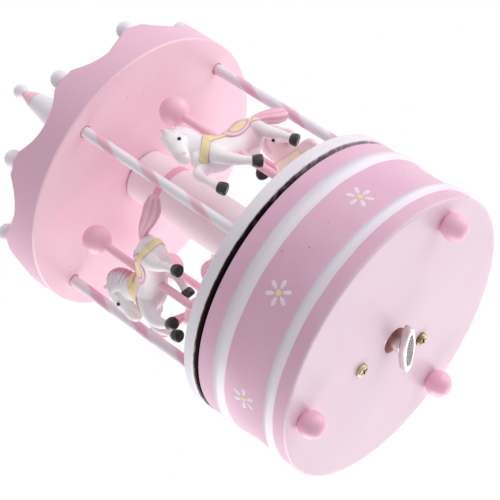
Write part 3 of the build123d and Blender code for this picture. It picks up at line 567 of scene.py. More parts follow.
@dataclass(frozen=True)
class Paint(Finish):
    """Brushed enamel on wood."""

    colour: Colour
    thin: Colour
    gloss: float = 0.34
    cloud: float = 0.6
    specks: float = 0.6
    # edge colour: wear, with painted highlight where it is paler than the paint and painted shade where it is darker
    worn: Colour = srgb(240, 222, 226)
    wear: float = 0.3
    wear_and_light_share: float = 0.7
    bump: float = field(default=0.12, kw_only=True)
    depth: float = field(default=0.25, kw_only=True)

    def decorated(self, tree: Tree, vector: Any, ground: Any) -> Any:
        """Give the colour after painted patterns; plain paint has none.

        Args:
            tree: tree of the material.
            vector: object coordinates.
            ground: colour of the plain film.

        Returns:
            The colour socket.
        """
        return ground

    def make(self) -> bpy.types.Material:
        """Build the material.

        Returns:
            The material.
        """
        material, tree, surface, vector = self.start()
        film = Effects.use(tree, "paint_film", {
            "Vector": vector, "Colour": self.colour, "Thin colour": self.thin, "Cloud": self.cloud,
            "Specks": self.specks, "Gloss": self.gloss,
        })
        # wear and painted light along the edges
        edge_wear_and_light_mask = Effects.use(tree, "edge_wear_and_light", {"Vector": vector, "Edge": tree.mark("edge"), "Amount": self.wear})
        painted = self.decorated(tree, vector, film["Colour"])
        colour = tree.mix(tree.sum("MULTIPLY", edge_wear_and_light_mask["Mask"], self.wear_and_light_share), painted, self.worn)
        self.dress(tree, surface, colour, film["Roughness"], film["Height"])
        return material


@dataclass(frozen=True)
class DrumPaint(Paint):
    """Enamel of the drum: hand-painted bands on its beads, painted shade on their upper halves, and painted sheen on
    the underside.
    """

    band: Colour = srgb(240, 231, 242)
    # painted shade: the greyer white on the upper half of each band
    band_painted_shade: Colour = srgb(214, 206, 221)
    bands: tuple[tuple[float, float], ...] = ((35.5, 2.55), (15.1, 1.95))
    band_edge: float = 0.12
    band_fade: float = 0.7
    shade_run: tuple[float, float] = (-0.5, 0.8)
    # painted sheen: the underside is painted paler than the wall
    underside: Colour = srgb(230, 201, 217)
    underside_level: float = 8.6
    underside_fade: tuple[float, float] = (0.4, -0.5)
    hole_radius: float = 4.7
    hole_wood: Colour = srgb(212, 158, 150)
    wave: float = 0.5

    def decorated(self, tree: Tree, vector: Any, ground: Any) -> Any:
        """Paint bands with slightly wavy edges and painted shade on their upper side, the underside paler as painted
        sheen, and the bare key hole.

        Args:
            tree: tree of the material.
            vector: object coordinates.
            ground: colour of the plain film.

        Returns:
            The colour socket.
        """
        parts = tree.add("ShaderNodeSeparateXYZ", {0: vector})
        height = parts.outputs["Z"]
        # painted sheen: below the underside level the colour turns paler
        below = tree.between(height, *((self.underside_level + fade) * MM for fade in self.underside_fade))
        colour = tree.mix(below, ground, self.underside)
        wave = tree.waver(vector, 120, 3, self.wave * MM)
        for level, half in self.bands:
            above = tree.sum("SUBTRACT", tree.sum("ADD", height, wave), level * MM)
            crisp = tree.between(above, -(half + self.band_edge) * MM, (self.band_edge - half) * MM)
            soft = tree.between(above, (half + self.band_fade) * MM, (half - self.band_fade) * MM)
            # painted shade: each band turns greyer towards its upper side
            shade = tree.between(above, *(share * half * MM for share in self.shade_run))
            white = tree.mix(shade, self.band, self.band_painted_shade)
            colour = tree.mix(tree.sum("MULTIPLY", crisp, soft), colour, white)
        flat = tree.add("ShaderNodeCombineXYZ", {0: parts.outputs["X"], 1: parts.outputs["Y"]})
        reach = tree.add("ShaderNodeVectorMath", {0: flat.outputs[0]}, operation="LENGTH").outputs["Value"]
        hole = tree.between(reach, (self.hole_radius + 0.1) * MM, (self.hole_radius - 0.1) * MM)
        return tree.mix(hole, colour, self.hole_wood)


@dataclass(frozen=True)
class BoardPaint(Paint):
    """Enamel of the platform: painted shadow darkens its underside, less so towards one side, with a ragged edge."""

    # painted shadow: the dark of the gap between platform and drum, painted on the platform's underside
    gap_shadow: Colour = srgb(46, 30, 32)
    shadow_level: float = 45.85
    shadow_tilt: Point = (-0.0042, 0.0012, 1.0)
    wave: float = 0.4

    def decorated(self, tree: Tree, vector: Any, ground: Any) -> Any:
        """Paint shadow on everything below a slightly wavy level that leans to one side.

        Args:
            tree: tree of the material.
            vector: object coordinates.
            ground: colour of the plain film.

        Returns:
            The colour socket.
        """
        leaning = tree.add("ShaderNodeVectorMath", {0: vector, 1: self.shadow_tilt}, operation="DOT_PRODUCT")
        level = tree.sum("ADD", leaning.outputs["Value"], tree.waver(vector, 420, 4, self.wave * MM))
        below = tree.between(level, (self.shadow_level + 0.15) * MM, (self.shadow_level - 0.15) * MM)
        return tree.mix(below, ground, self.gap_shadow)


@dataclass(frozen=True)
class CanopyPaint(Paint):
    """Enamel of the canopy: a cooler tone on the wall and roof than below, which is a painted reflection."""

    # painted reflection: the cooler mauve of the wall and roof
    wall: Colour = srgb(228, 178, 204)
    wall_level: float = 118.3
    wall_reflection_share: float = 0.8

    def decorated(self, tree: Tree, vector: Any, ground: Any) -> Any:
        """Mix the cooler tone in above the lower edge as a painted reflection.

        Args:
            tree: tree of the material.
            vector: object coordinates.
            ground: colour of the plain film.

        Returns:
            The colour socket.
        """
        above = tree.between(tree.height(vector), (self.wall_level - 0.25) * MM, (self.wall_level + 0.35) * MM)
        return tree.mix(tree.sum("MULTIPLY", above, self.wall_reflection_share), ground, self.wall)


@dataclass(frozen=True)
class ColumnPaint(Paint):
    """Enamel of the column: one painted ring and a painted shadow at the joint with the canopy."""

    ring: Colour = srgb(230, 170, 190)
    ring_level: float = 104.3
    ring_half: float = 1.35
    wave: float = 1.2
    joint: Colour = srgb(120, 86, 84)
    joint_level: float = 117.2

    def decorated(self, tree: Tree, vector: Any, ground: Any) -> Any:
        """Paint the ring with a soft, slightly wavy edge and paint shadow at the joint.

        Args:
            tree: tree of the material.
            vector: object coordinates.
            ground: colour of the plain film.

        Returns:
            The colour socket.
        """
        height = tree.height(vector)
        wave = tree.waver(vector, 90, 2, self.wave * MM)
        off = tree.sum("ABSOLUTE", tree.sum("SUBTRACT", tree.sum("ADD", height, wave), self.ring_level * MM))
        share = tree.between(off, (self.ring_half + 0.3) * MM, (self.ring_half - 0.3) * MM)
        colour = tree.mix(share, ground, self.ring)
        # painted shadow: the column darkens just below the canopy
        dark = tree.between(height, self.joint_level * MM, (self.joint_level + 0.25) * MM)
        return tree.mix(dark, colour, self.joint)


@dataclass(frozen=True)
class StripePaint(Paint):
    """Enamel of a pole: a soft helical stripe that follows the pole's own texture coordinates."""

    stripe: Colour = srgb(232, 174, 196)
    pitch: float = 20.3
    share: float = 0.32
    ragged: float = 0.24
    fade: tuple[float, float] = (0.07, -0.06)
    strength: float = 0.85

    def decorated(self, tree: Tree, vector: Any, ground: Any) -> Any:
        """Paint the stripe where the share of a turn, less the share of a pitch, is small.

        Args:
            tree: tree of the material.
            vector: object coordinates.
            ground: colour of the plain film.

        Returns:
            The colour socket.
        """
        run = tree.add("ShaderNodeUVMap", uv_map="run").outputs[0]
        parts = tree.add("ShaderNodeSeparateXYZ", {0: run})
        climb = tree.sum("MULTIPLY", parts.outputs["Y"], 1 / (self.pitch * MM))
        ragged = tree.waver(vector, 110, 3, self.ragged)
        phase = tree.sum("FRACT", tree.sum("ADD", tree.sum("SUBTRACT", parts.outputs["X"], climb), ragged))
        off = tree.sum("ABSOLUTE", tree.sum("SUBTRACT", phase, 0.5))
        line = tree.between(off, *(self.share / 2 + fade for fade in self.fade))
        return tree.mix(tree.sum("MULTIPLY", line, self.strength), ground, self.stripe)


@dataclass(frozen=True)
class CoatPaint(Paint):
    """Coat of a horse: enamel with airbrushed colour where the mesh is marked."""

    blush: Colour = srgb(226, 158, 182)

    def decorated(self, tree: Tree, vector: Any, ground: Any) -> Any:
        """Mix the airbrushed colour in by the mark, thinned by a fine spray grain.

        Args:
            tree: tree of the material.
            vector: object coordinates.
            ground: colour of the plain film.

        Returns:
            The colour socket.
        """
        grain = tree.sum("MULTIPLY_ADD", tree.noise(vector, 700, 2), 0.5, 0.7)
        return tree.mix(tree.sum("MULTIPLY", tree.mark("blush"), grain), ground, self.blush)


@dataclass(frozen=True)
class HairPaint(Paint):
    """Paint of mane and tail: darker in the carved grooves, paler on the tips."""

    groove: Colour = srgb(196, 122, 152)
    groove_share: float = 0.8
    tip: Colour = srgb(246, 226, 234)

    def decorated(self, tree: Tree, vector: Any, ground: Any) -> Any:
        """Mix groove and tip colours in by the marks.

        Args:
            tree: tree of the material.
            vector: object coordinates.
            ground: colour of the plain film.

        Returns:
            The colour socket.
        """
        paler = tree.mix(tree.mark("tip"), ground, self.tip)
        return tree.mix(tree.sum("MULTIPLY", tree.mark("groove"), self.groove_share), paler, self.groove)


@dataclass(frozen=True)
class TackPaint(Paint):
    """Paint of straps and saddle: a yellow middle with coloured lines towards the edge."""

    line: Colour = srgb(244, 206, 219)
    rim: Colour = srgb(220, 160, 184)
    steps: tuple[tuple[float, float], ...] = ((0.5, 0.56), (0.62, 0.68), (0.86, 0.9))
    ragged: float = 0.10

    def decorated(self, tree: Tree, vector: Any, ground: Any) -> Any:
        """Paint the lines by the mark that runs from 0 in the middle to 1 at the edge.

        Args:
            tree: tree of the material.
            vector: object coordinates.
            ground: colour of the plain film.

        Returns:
            The colour socket.
        """
        place = tree.sum("ADD", tree.mark("border"), tree.waver(vector, 500, 2, self.ragged))
        colour = ground
        for (start, full), paint in zip(self.steps, (self.rim, self.line, self.rim)):
            colour = tree.mix(tree.between(place, start, full), colour, paint)
        return colour


@dataclass(frozen=True)
class Metal(Finish):
    """Plated or bare metal."""

    colour: Colour
    dull: Colour
    gloss: float = 0.25
    scratch: float = 0.6
    bump: float = field(default=0.15, kw_only=True)

    def make(self) -> bpy.types.Material:
        """Build the material.

        Returns:
            The material.
        """
        material, tree, surface, vector = self.start()
        given = {"Vector": vector, "Gloss": self.gloss, "Scratch": self.scratch}
        face = Effects.use(tree, "machined_face", given)
        colour = tree.mix(face["Tone"], self.colour, self.dull)
        surface.inputs["Metallic"].default_value = 1.0
        self.dress(tree, surface, colour, face["Roughness"], face["Height"])
        return material


@dataclass(frozen=True)
class Timber(Finish):
    """Bare turned wood with long grain."""

    colour: Colour
    dark: Colour
    gloss: float = 0.6
    grain: Point = (900, 900, 60)
    pores: Point = (3000, 3000, 200)
    bump: float = field(default=0.3, kw_only=True)
    depth: float = field(default=0.15, kw_only=True)

    def make(self) -> bpy.types.Material:
        """Build the material.

        Returns:
            The material.
        """
        material, tree, surface, vector = self.start()
        grain = tree.noise(tree.stretched(vector, self.grain), 1, 4)
        pores = tree.noise(tree.stretched(vector, self.pores), 1, 2)
        colour = tree.mix(tree.between(grain, 0.35, 0.65), self.colour, self.dark)
        rough = tree.sum("MULTIPLY_ADD", grain, 0.2, self.gloss)
        self.dress(tree, surface, colour, rough, pores)
        return material


@dataclass(frozen=True)
class Moulded(Finish):
    """Moulded plastic or dark board."""

    colour: Colour
    pale: Colour
    gloss: float = 0.45
    grain: float = 800.0
    cloud_scale: float = 120

    def make(self) -> bpy.types.Material:
        """Build the material.

        Returns:
            The material.
        """
        material, tree, surface, vector = self.start()
        cloud = tree.noise(vector, self.cloud_scale, 3)
        colour = tree.mix(tree.between(cloud, 0.4, 0.8), self.colour, self.pale)
        rough = tree.sum("MULTIPLY_ADD", cloud, 0.15, self.gloss)
        self.dress(tree, surface, colour, rough, tree.noise(vector, self.grain, 2))
        return material


@dataclass(frozen=True)
class CastPanel(Moulded):
    """Cast panel, with painted shade in its hollows and painted highlights on its bumps."""

    def make(self) -> bpy.types.Material:
        """Build the material.

        Returns:
            The material.
        """
        material, tree, surface, vector = self.start()
        pits = tree.noise(vector, self.grain, 2)
        # painted shade and highlight: the relief mark darkens hollows and lightens bumps
        relief_light = tree.between(tree.sum("MULTIPLY_ADD", pits, 0.4, tree.mark("relief")), 0.45, 0.95)
        rough = tree.sum("MULTIPLY_ADD", pits, 0.2, self.gloss)
        self.dress(tree, surface, tree.mix(relief_light, self.colour, self.pale), rough, pits)
        return material


class Coat(Enum):
    """The two coats of the horses, each with the name of its material slot."""

    WHITE = "horse_white"
    PINK = "horse_pink"


class Finishes:
    """Every finish of the music box, made once."""

    def __init__(self) -> None:
        """Build the shared effects and the materials."""
        Effects.build()
        pink, pink_thin = srgb(252, 206, 222), srgb(252, 215, 228)
        white, white_thin = srgb(240, 233, 242), srgb(228, 218, 232)
        self.drum = DrumPaint("drum_enamel", srgb(226, 176, 203), srgb(231, 188, 211), gloss=0.3,
                              worn=srgb(250, 218, 230), wear=0.06).make()
        self.canopy = CanopyPaint("canopy_enamel", pink, pink_thin, gloss=0.32, wear=0.02).make()
        self.platform = BoardPaint("platform_enamel", white, white_thin, gloss=0.32, worn=srgb(196, 182, 190),
                                   wear=0.1).make()
        self.rose = Paint("rose_enamel", srgb(246, 188, 209), srgb(248, 200, 218), gloss=0.3, wear=0.05).make()
        self.white = Paint("white_enamel", white, white_thin, gloss=0.32, worn=srgb(214, 196, 200)).make()
        self.petal = Paint("petal_enamel", srgb(242, 228, 238), srgb(236, 212, 227), gloss=0.35, cloud=0.9,
                           specks=0.2).make()
        self.yolk = Paint("yellow_enamel", srgb(242, 222, 164), srgb(238, 208, 148), gloss=0.35).make()
        self.column = ColumnPaint("column_enamel", srgb(244, 232, 237), srgb(238, 218, 226)).make()
        self.pole = StripePaint("pole_enamel", white, white_thin, gloss=0.34, specks=0.3).make()
        self.coats = {
            Coat.WHITE: CoatPaint("white_coat", srgb(246, 240, 243), srgb(240, 230, 235), gloss=0.36).make(),
            Coat.PINK: CoatPaint("pink_coat", srgb(249, 226, 229), srgb(246, 217, 222), gloss=0.36,
                                 blush=srgb(234, 172, 188)).make(),
        }
        self.mane = {
            Coat.WHITE: HairPaint("mane_enamel", srgb(242, 236, 243), srgb(236, 226, 234), gloss=0.36,
                                  groove=srgb(186, 116, 146), tip=srgb(228, 158, 182)).make(),
            Coat.PINK: HairPaint("pale_mane_enamel", srgb(240, 206, 216), srgb(244, 218, 226), gloss=0.36).make(),
        }
        self.tail = {
            Coat.WHITE: HairPaint("tail_enamel", srgb(234, 178, 198), srgb(238, 190, 206), gloss=0.36,
                                  groove=srgb(216, 150, 174), tip=srgb(238, 186, 204)).make(),
            Coat.PINK: HairPaint("pale_tail_enamel", srgb(236, 178, 196), srgb(240, 192, 206), gloss=0.36,
                                 groove=srgb(222, 156, 178), tip=srgb(240, 192, 206)).make(),
        }
        self.tack = {
            Coat.WHITE: TackPaint("yellow_tack", srgb(243, 227, 174), srgb(240, 212, 162), gloss=0.36).make(),
            Coat.PINK: TackPaint("orange_tack", srgb(255, 243, 218), srgb(253, 233, 212), gloss=0.36).make(),
        }
        self.hoof = Moulded("hoof_enamel", srgb(26, 22, 24), srgb(44, 38, 40), gloss=0.18, grain=300.0).make()
        self.nickel = Metal("nickel_plate", srgb(226, 218, 217), srgb(204, 196, 197), gloss=0.22).make()
        self.pebbled = CastPanel("pebbled_panel", srgb(82, 78, 80), srgb(206, 201, 202), gloss=0.24,
                                 grain=2600.0).make()
        self.brass = Metal("brass_screw", srgb(226, 211, 180), srgb(120, 102, 76), gloss=0.2).make()
        self.gear = Metal("gear_brass", srgb(222, 190, 116), srgb(198, 164, 92), gloss=0.3).make()
        self.steel = Metal("blued_steel", srgb(176, 178, 184), srgb(148, 150, 158), gloss=0.28).make()
        self.zinc = Metal("zinc_casting", srgb(168, 168, 166), srgb(140, 140, 138), gloss=0.5, scratch=0.3).make()
        self.plastic = Moulded("gear_plastic", srgb(236, 232, 220), srgb(226, 220, 206)).make()
        # a real cover board; its black is partly painted shade that darkens the gap under the platform
        self.board = Moulded("black_board", srgb(34, 28, 28), srgb(48, 40, 40), gloss=0.7).make()
        self.timber = Timber("bare_wood", srgb(206, 164, 118), srgb(178, 132, 90)).make()
        self.socket = Timber("socket_wood", srgb(222, 168, 156), srgb(196, 140, 126)).make()


# Base


@dataclass
class Base:
    """Turned drum with its beads, painted flowers, feet and key.

    Each bead is a level and a half width, and the panel's border has one width at the sides and one at the ends.
    """

    radius: float = 50.0
    bottom: float = 7.8
    floor: float = 13.8
    top: float = 44.2
    eased: float = 1.3
    cover_bottom: float = 42.7
    cavity_radius: float = 43.5
    rebate_radius: float = 46.0
    beads: tuple[tuple[float, float], ...] = ((15.1, 1.8), (35.5, 2.5))
    bead_rise: float = 1.0
    waist: float = 0.5
    hole_radius: float = 4.5
    drum_sides: int = 240
    foot_count: int = 3
    foot_radius: float = 4.5
    foot_centre: float = 4.3
    foot_circle: float = 42.2
    foot_angle: float = 13.1
    foot_top: float = 75.0
    flower_level: float = 25.4
    flower_angle: float = 14.5
    flower_count: int = 8
    flower_turn: float = 0.2
    petal_count: int = 6
    petal_inner: float = 1.3
    petal_outer: float = 4.4
    petal_half_width: float = 0.88
    heart_radius: float = 1.0
    heart_rise: float = 1.4
    paint_low: float = 0.02
    paint_dome: float = 0.07
    key_angle: float = 103.7
    key_length: float = 19.4
    key_width: float = 4.8
    key_end: float = 1.6
    key_low: float = 1.3
    key_high: float = 4.3
    key_shaft: float = 2.4
    key_top: float = 16.0
    key_sides: int = 96
    shaft_sides: int = 64
    key_bulge: float = 0.8
    neck_flare: float = 0.75
    neck_length: float = 4.2
    panel_border: tuple[float, float] = (0.54, 2.6)
    panel_sink: float = 0.3
    panel_rows: int = 61
    pebble_depth: float = 0.22

    def wall(self, height: np.ndarray) -> np.ndarray:
        """Radius of the outer wall: a waist between the beads and a parabola for each bead.

        Args:
            height: heights in millimetres.

        Returns:
            The radii.
        """
        (low, low_half), (high, high_half) = self.beads
        span = (height - low - low_half) / (high - high_half - low - low_half)
        radius = self.radius - self.waist * np.clip(4 * span * (1 - span), 0, None)
        for level, half in self.beads:
            radius = radius + self.bead_rise * np.clip(1 - ((height - level) / half) ** 2, 0, None)
        return radius

    def drum(self) -> Patch:
        """Drum: the closed profile of floor, wall and rebate, turned about the axis.

        Returns:
            The patch.
        """
        heights = np.linspace(self.bottom + self.eased, self.top - self.eased, 150)
        wall = np.stack([self.wall(heights), heights], axis=1)
        under = rounded([
            (self.hole_radius, self.floor, 0), (self.hole_radius, self.bottom, 0.35),
            (self.radius, self.bottom, 1.2), (wall[0, 0], wall[0, 1], 0),
        ])
        inside = rounded([
            (wall[-1, 0], wall[-1, 1], 0), (self.radius, self.top, 1.0), (self.rebate_radius, self.top, 0.2),
            (self.rebate_radius, self.cover_bottom, 0), (self.cavity_radius, self.cover_bottom, 0),
            (self.cavity_radius, self.floor, 0), (self.hole_radius, self.floor, 0),
        ])
        return turned(refined(np.vstack([under[:-1], wall, inside[1:]]), 1.5), self.drum_sides)

    def feet(self) -> list[Patch]:
        """Three balls with a small worn flat, cut where they enter the floor.

        Returns:
            The patches.
        """
        places = on_circle(self.foot_circle, self.foot_angle, self.foot_count)
        low = -np.degrees(np.arcsin(self.foot_centre / self.foot_radius))
        foot = ball(self.foot_radius, low, self.foot_top)
        return [foot.moved(placement(x, y, self.foot_centre)) for x, y, _ in places]

    def flowers(self) -> list[Patch]:
        """Daisies in thick paint: petals are teardrop discs and hearts round discs, laid on the wall.

        A disc point (rho, phi) goes along and across its petal, and rises by a low dome. The angle of a
        flower's place, taken as radians, also turns its petals, so that no two flowers stand alike.

        Returns:
            The patches, petals with material 0 and hearts with material 1.
        """
        rho = np.linspace(0, 1, 5)[:, None]
        phi = np.linspace(0, TURN, 17)[None, :]
        middle, half = (self.petal_inner + self.petal_outer) / 2, (self.petal_outer - self.petal_inner) / 2
        along = middle + half * rho * np.cos(phi)
        across = self.petal_half_width * rho * np.sin(phi) * (0.8 + 0.2 * np.cos(phi))
        rise = self.paint_low + self.paint_dome * np.sqrt(np.clip(1 - rho**2, 0, 1)) + 0 * phi
        uv = np.stack([along, across], axis=-1)
        patches = []
        for _, _, angle in on_circle(self.radius, self.flower_angle, self.flower_count):
            for turn in np.arange(self.petal_count) * TURN / self.petal_count + self.flower_turn + angle:
                side = along * np.cos(turn) - across * np.sin(turn)
                level = self.flower_level + along * np.sin(turn) + across * np.cos(turn)
                patches.append(Patch(self.on_wall(angle, side, level, rise), uv, 0))
            side = self.heart_radius * rho * np.cos(phi)
            level = self.flower_level + self.heart_radius * rho * np.sin(phi)
            patches.append(Patch(self.on_wall(angle, side, level, self.heart_rise * rise), uv, 1))
        return patches

    def on_wall(self, angle: float, side: np.ndarray, level: np.ndarray, rise: np.ndarray) -> np.ndarray:
        """Bend flat coordinates round the wall.

        Args:
            angle: angle of the middle in degrees.
            side: distance round the wall in millimetres.
            level: height in millimetres.
            rise: height above the wall in millimetres.

        Returns:
            The points.
        """
        radius = self.wall(level) + rise
        turn = np.radians(angle) + side / self.radius
        return np.stack([radius * np.cos(turn), radius * np.sin(turn), level], axis=-1)

    def key(self) -> list[Patch]:
        """Winding key: a lens outline shrunk by an offset and raised by a profile, on a flared shaft.

        The panel's relief is a product of two bent waves, so it has bumps in no clear rows.

        Returns:
            The patches, metal with material 0 and the sunk panel with material 1.
        """
        turn = np.linspace(0, TURN, self.key_sides + 1)[None, :]
        half_length, half_width = self.key_length / 2, self.key_width / 2
        x = half_length * np.sign(np.cos(turn)) * np.abs(np.cos(turn)) ** self.key_bulge
        blunt = self.key_end / self.key_width
        y = half_width * np.abs(np.sin(turn)) ** self.key_bulge
        swell = blunt + (1 - blunt) * (1 - (x / half_length) ** 2)
        y = np.clip(y, 0, half_width * swell) * np.sign(np.sin(turn))

        def ring(profile: Sequence[Point], material: int) -> Patch:
            """Carry the outline along a profile.

            Args:
                profile: rows of inward offset at the sides, inward offset at the ends, and height.
                material: place of the material.

            Returns:
                The patch.
            """
            side, end, height = np.array(profile).T[:, :, None]
            points = np.stack([x * (1 - end / half_length), y * (1 - side / half_width), height + 0 * x], axis=-1)
            return Patch(points, points[..., :2], material)

        low, high = self.key_low, self.key_high
        side, end = self.panel_border
        sunk = low + self.panel_sink
        bar = ring([(side, end, sunk), (side - 0.06, end - 0.2, low + 0.06), (side - 0.16, end - 0.5, low),
                    (0.24, 0.3, low), (0.08, 0.1, low + 0.1), (0, 0, low + 0.35), (0, 0, high - 0.4),
                    (0.15, 0.15, high - 0.1), (0.5, 0.5, high), (half_width, half_length, high + 0.1)], 0)
        shares = np.linspace(0, 1, self.panel_rows)
        panel = ring([(half_width - share * (half_width - side), half_length - share * (half_length - end), sunk)
                      for share in shares], 1)
        along, across = panel.points[..., 0], panel.points[..., 1]
        pebble = np.sin(4.6 * along + 1.5 * np.sin(3.1 * across)) * np.sin(4.1 * across + along)
        pebble *= np.clip(8 - 8 * shares, 0, 1)[:, None]
        panel.points[..., 2] -= self.pebble_depth * pebble
        # this mark drives the panel's painted highlight and shade
        panel.marks["relief"] = 0.5 + 0.5 * pebble
        shaft = turned(refined(rounded([
            (0, high - 0.2, 0), (2.2, high - 0.2, 0.2), (2.3, high, 0.2), (self.key_shaft, high + 3.0, 0.4),
            (self.key_shaft, self.key_top, 0.2), (0, self.key_top, 0),
        ]), 0.4), self.shaft_sides)
        near = np.clip(1 - (shaft.points[..., 2] - high) / self.neck_length, 0, 1)
        shaft.points[..., 0] *= 1 + self.neck_flare * near**1.4
        place = placement(0, 0, 0, self.key_angle)
        return [bar.moved(place), panel.moved(place), shaft.moved(place)]

    def build(self, looks: Finishes) -> None:
        """Make, dress and tie every piece of the base.

        Args:
            looks: the finishes.
        """
        fit(piece("drum", [self.drum()], [looks.drum]), "base", "mauve_paint", "base_drum")
        fit(piece("feet", self.feet(), [looks.rose]), "base", "pink_paint", "ball_feet")
        fit(piece("daisies", self.flowers(), [looks.petal, looks.yolk]), "base", "white_paint")
        fit(piece("key", self.key(), [looks.nickel, looks.pebbled]), "winder", "nickel", "winding_key")


# Turntable


@dataclass
class Turntable:
    """White platform, column, striped poles, and rods with their knobs."""

    radius: float = 50.3
    bottom: float = 45.7
    top: float = 50.2
    canopy: float = 117.7
    board_sides: int = 240
    column_radius: float = 9.3
    column_sides: int = 120
    groove_depth: float = 0.35
    stick_grip: float = 3.0
    stick_ease: float = 0.1
    pole_count: int = 4
    pole_radius: float = 1.8
    pole_circle: float = 43.2
    pole_angle: float = 68.7
    pole_turns: tuple[float, ...] = (-129.8, -40.6, 68.7, -79.0)
    pole_grip: float = 5.0
    pole_sides: int = 32
    pole_step: float = 1.0
    socket_gap: float = 0.02
    socket_drop: float = 0.06
    socket_depth: float = 0.3
    socket_widths: tuple[float, float] = (0.45, 0.62)
    rod_count: int = 4
    rod_radius: float = 1.4
    rod_circle: float = 34.35
    rod_angle: float = 17.9
    rod_sides: int = 28
    rod_step: float = 1.5
    knob_radius: float = 4.9
    knob_level: float = 105.0
    knob_grip: float = 4.0

    def platform(self) -> Patch:
        """Round board with softened edges.

        Returns:
            The patch.
        """
        profile = rounded([(0, self.bottom, 0), (self.radius, self.bottom, 0.9),
                           (self.radius, self.top, 1.0), (0, self.top, 0)], 9)
        return turned(refined(profile, 2.0), self.board_sides)

    def column(self) -> Patch:
        """Column with a narrow groove where it meets the canopy.

        Returns:
            The patch.
        """
        r, low, high = self.column_radius, self.top, self.canopy
        neck = r - self.groove_depth
        profile = rounded([(0, low, 0), (r, low, 0.2), (r, high - 0.75, 0.15), (neck, high - 0.5, 0.1),
                           (neck, high, 0), (0, high, 0)])
        return turned(refined(profile, 1.5), self.column_sides)

    def stick(self, radius: float, high: float, step: float, sides: int) -> Patch:
        """Plain round stick that is let into the platform.

        Args:
            radius: radius in millimetres.
            high: level of its upper end.
            step: largest spacing of its points in millimetres.
            sides: number of steps round it.

        Returns:
            The patch.
        """
        low, ease = self.top - self.stick_grip, self.stick_ease
        profile = rounded([(0, low, 0), (radius, low, ease), (radius, high, ease), (0, high, 0)])
        return turned(refined(profile, step), sides)

    def hole(self) -> Patch:
        """Thin ring of bare wood round a pole at the canopy.

        Returns:
            The patch.
        """
        low, high, r = self.canopy - self.socket_drop, self.canopy + self.socket_depth, self.pole_radius
        inner, (narrow, wide) = r + self.socket_gap, self.socket_widths
        profile = rounded([(inner, high, 0), (inner, low, 0.02), (r + narrow, low, 0.05), (r + wide, high, 0)], 3)
        return turned(profile, self.pole_sides)

    def build(self, looks: Finishes) -> None:
        """Make, dress and tie every piece between the base and the canopy.

        Args:
            looks: the finishes.
        """
        body = "turntable"
        fit(piece("platform_board", [self.platform()], [looks.platform]), body, "white_paint", "platform")
        fit(piece("column", [self.column()], [looks.column]), body, "white_paint", "center_column")
        poles = on_circle(self.pole_circle, self.pole_angle, self.pole_count)
        rings = [self.hole().moved(placement(x, y, 0)) for x, y, _ in poles]
        fit(piece("pole_sockets", rings, [looks.socket]), body, "bare_wood")
        pole = self.stick(self.pole_radius, self.canopy + self.pole_grip, self.pole_step, self.pole_sides)
        for number, ((x, y, _), turn) in enumerate(zip(poles, self.pole_turns), start=1):
            striped = piece(f"striped_pole_{number}", [pole.moved(placement(x, y, 0, turn))], [looks.pole])
            fit(striped, body, "striped_paint", f"pole_{number}")
        rod_top = self.knob_level - self.knob_radius + self.knob_grip
        rod = self.stick(self.rod_radius, rod_top, self.rod_step, self.rod_sides)
        rods = on_circle(self.rod_circle, self.rod_angle, self.rod_count)
        for number, (x, y, turn) in enumerate(rods, start=1):
            plain = piece(f"rod_{number}", [rod.moved(placement(x, y, 0))], [looks.rose])
            fit(plain, body, "pink_paint", f"horse_rod_{number}")
            knob = ball(self.knob_radius).moved(placement(x, y, self.knob_level, turn))
            fit(piece(f"knob_{number}", [knob], [looks.rose]), body, "pink_paint", f"horse_knob_{number}")


# Canopy


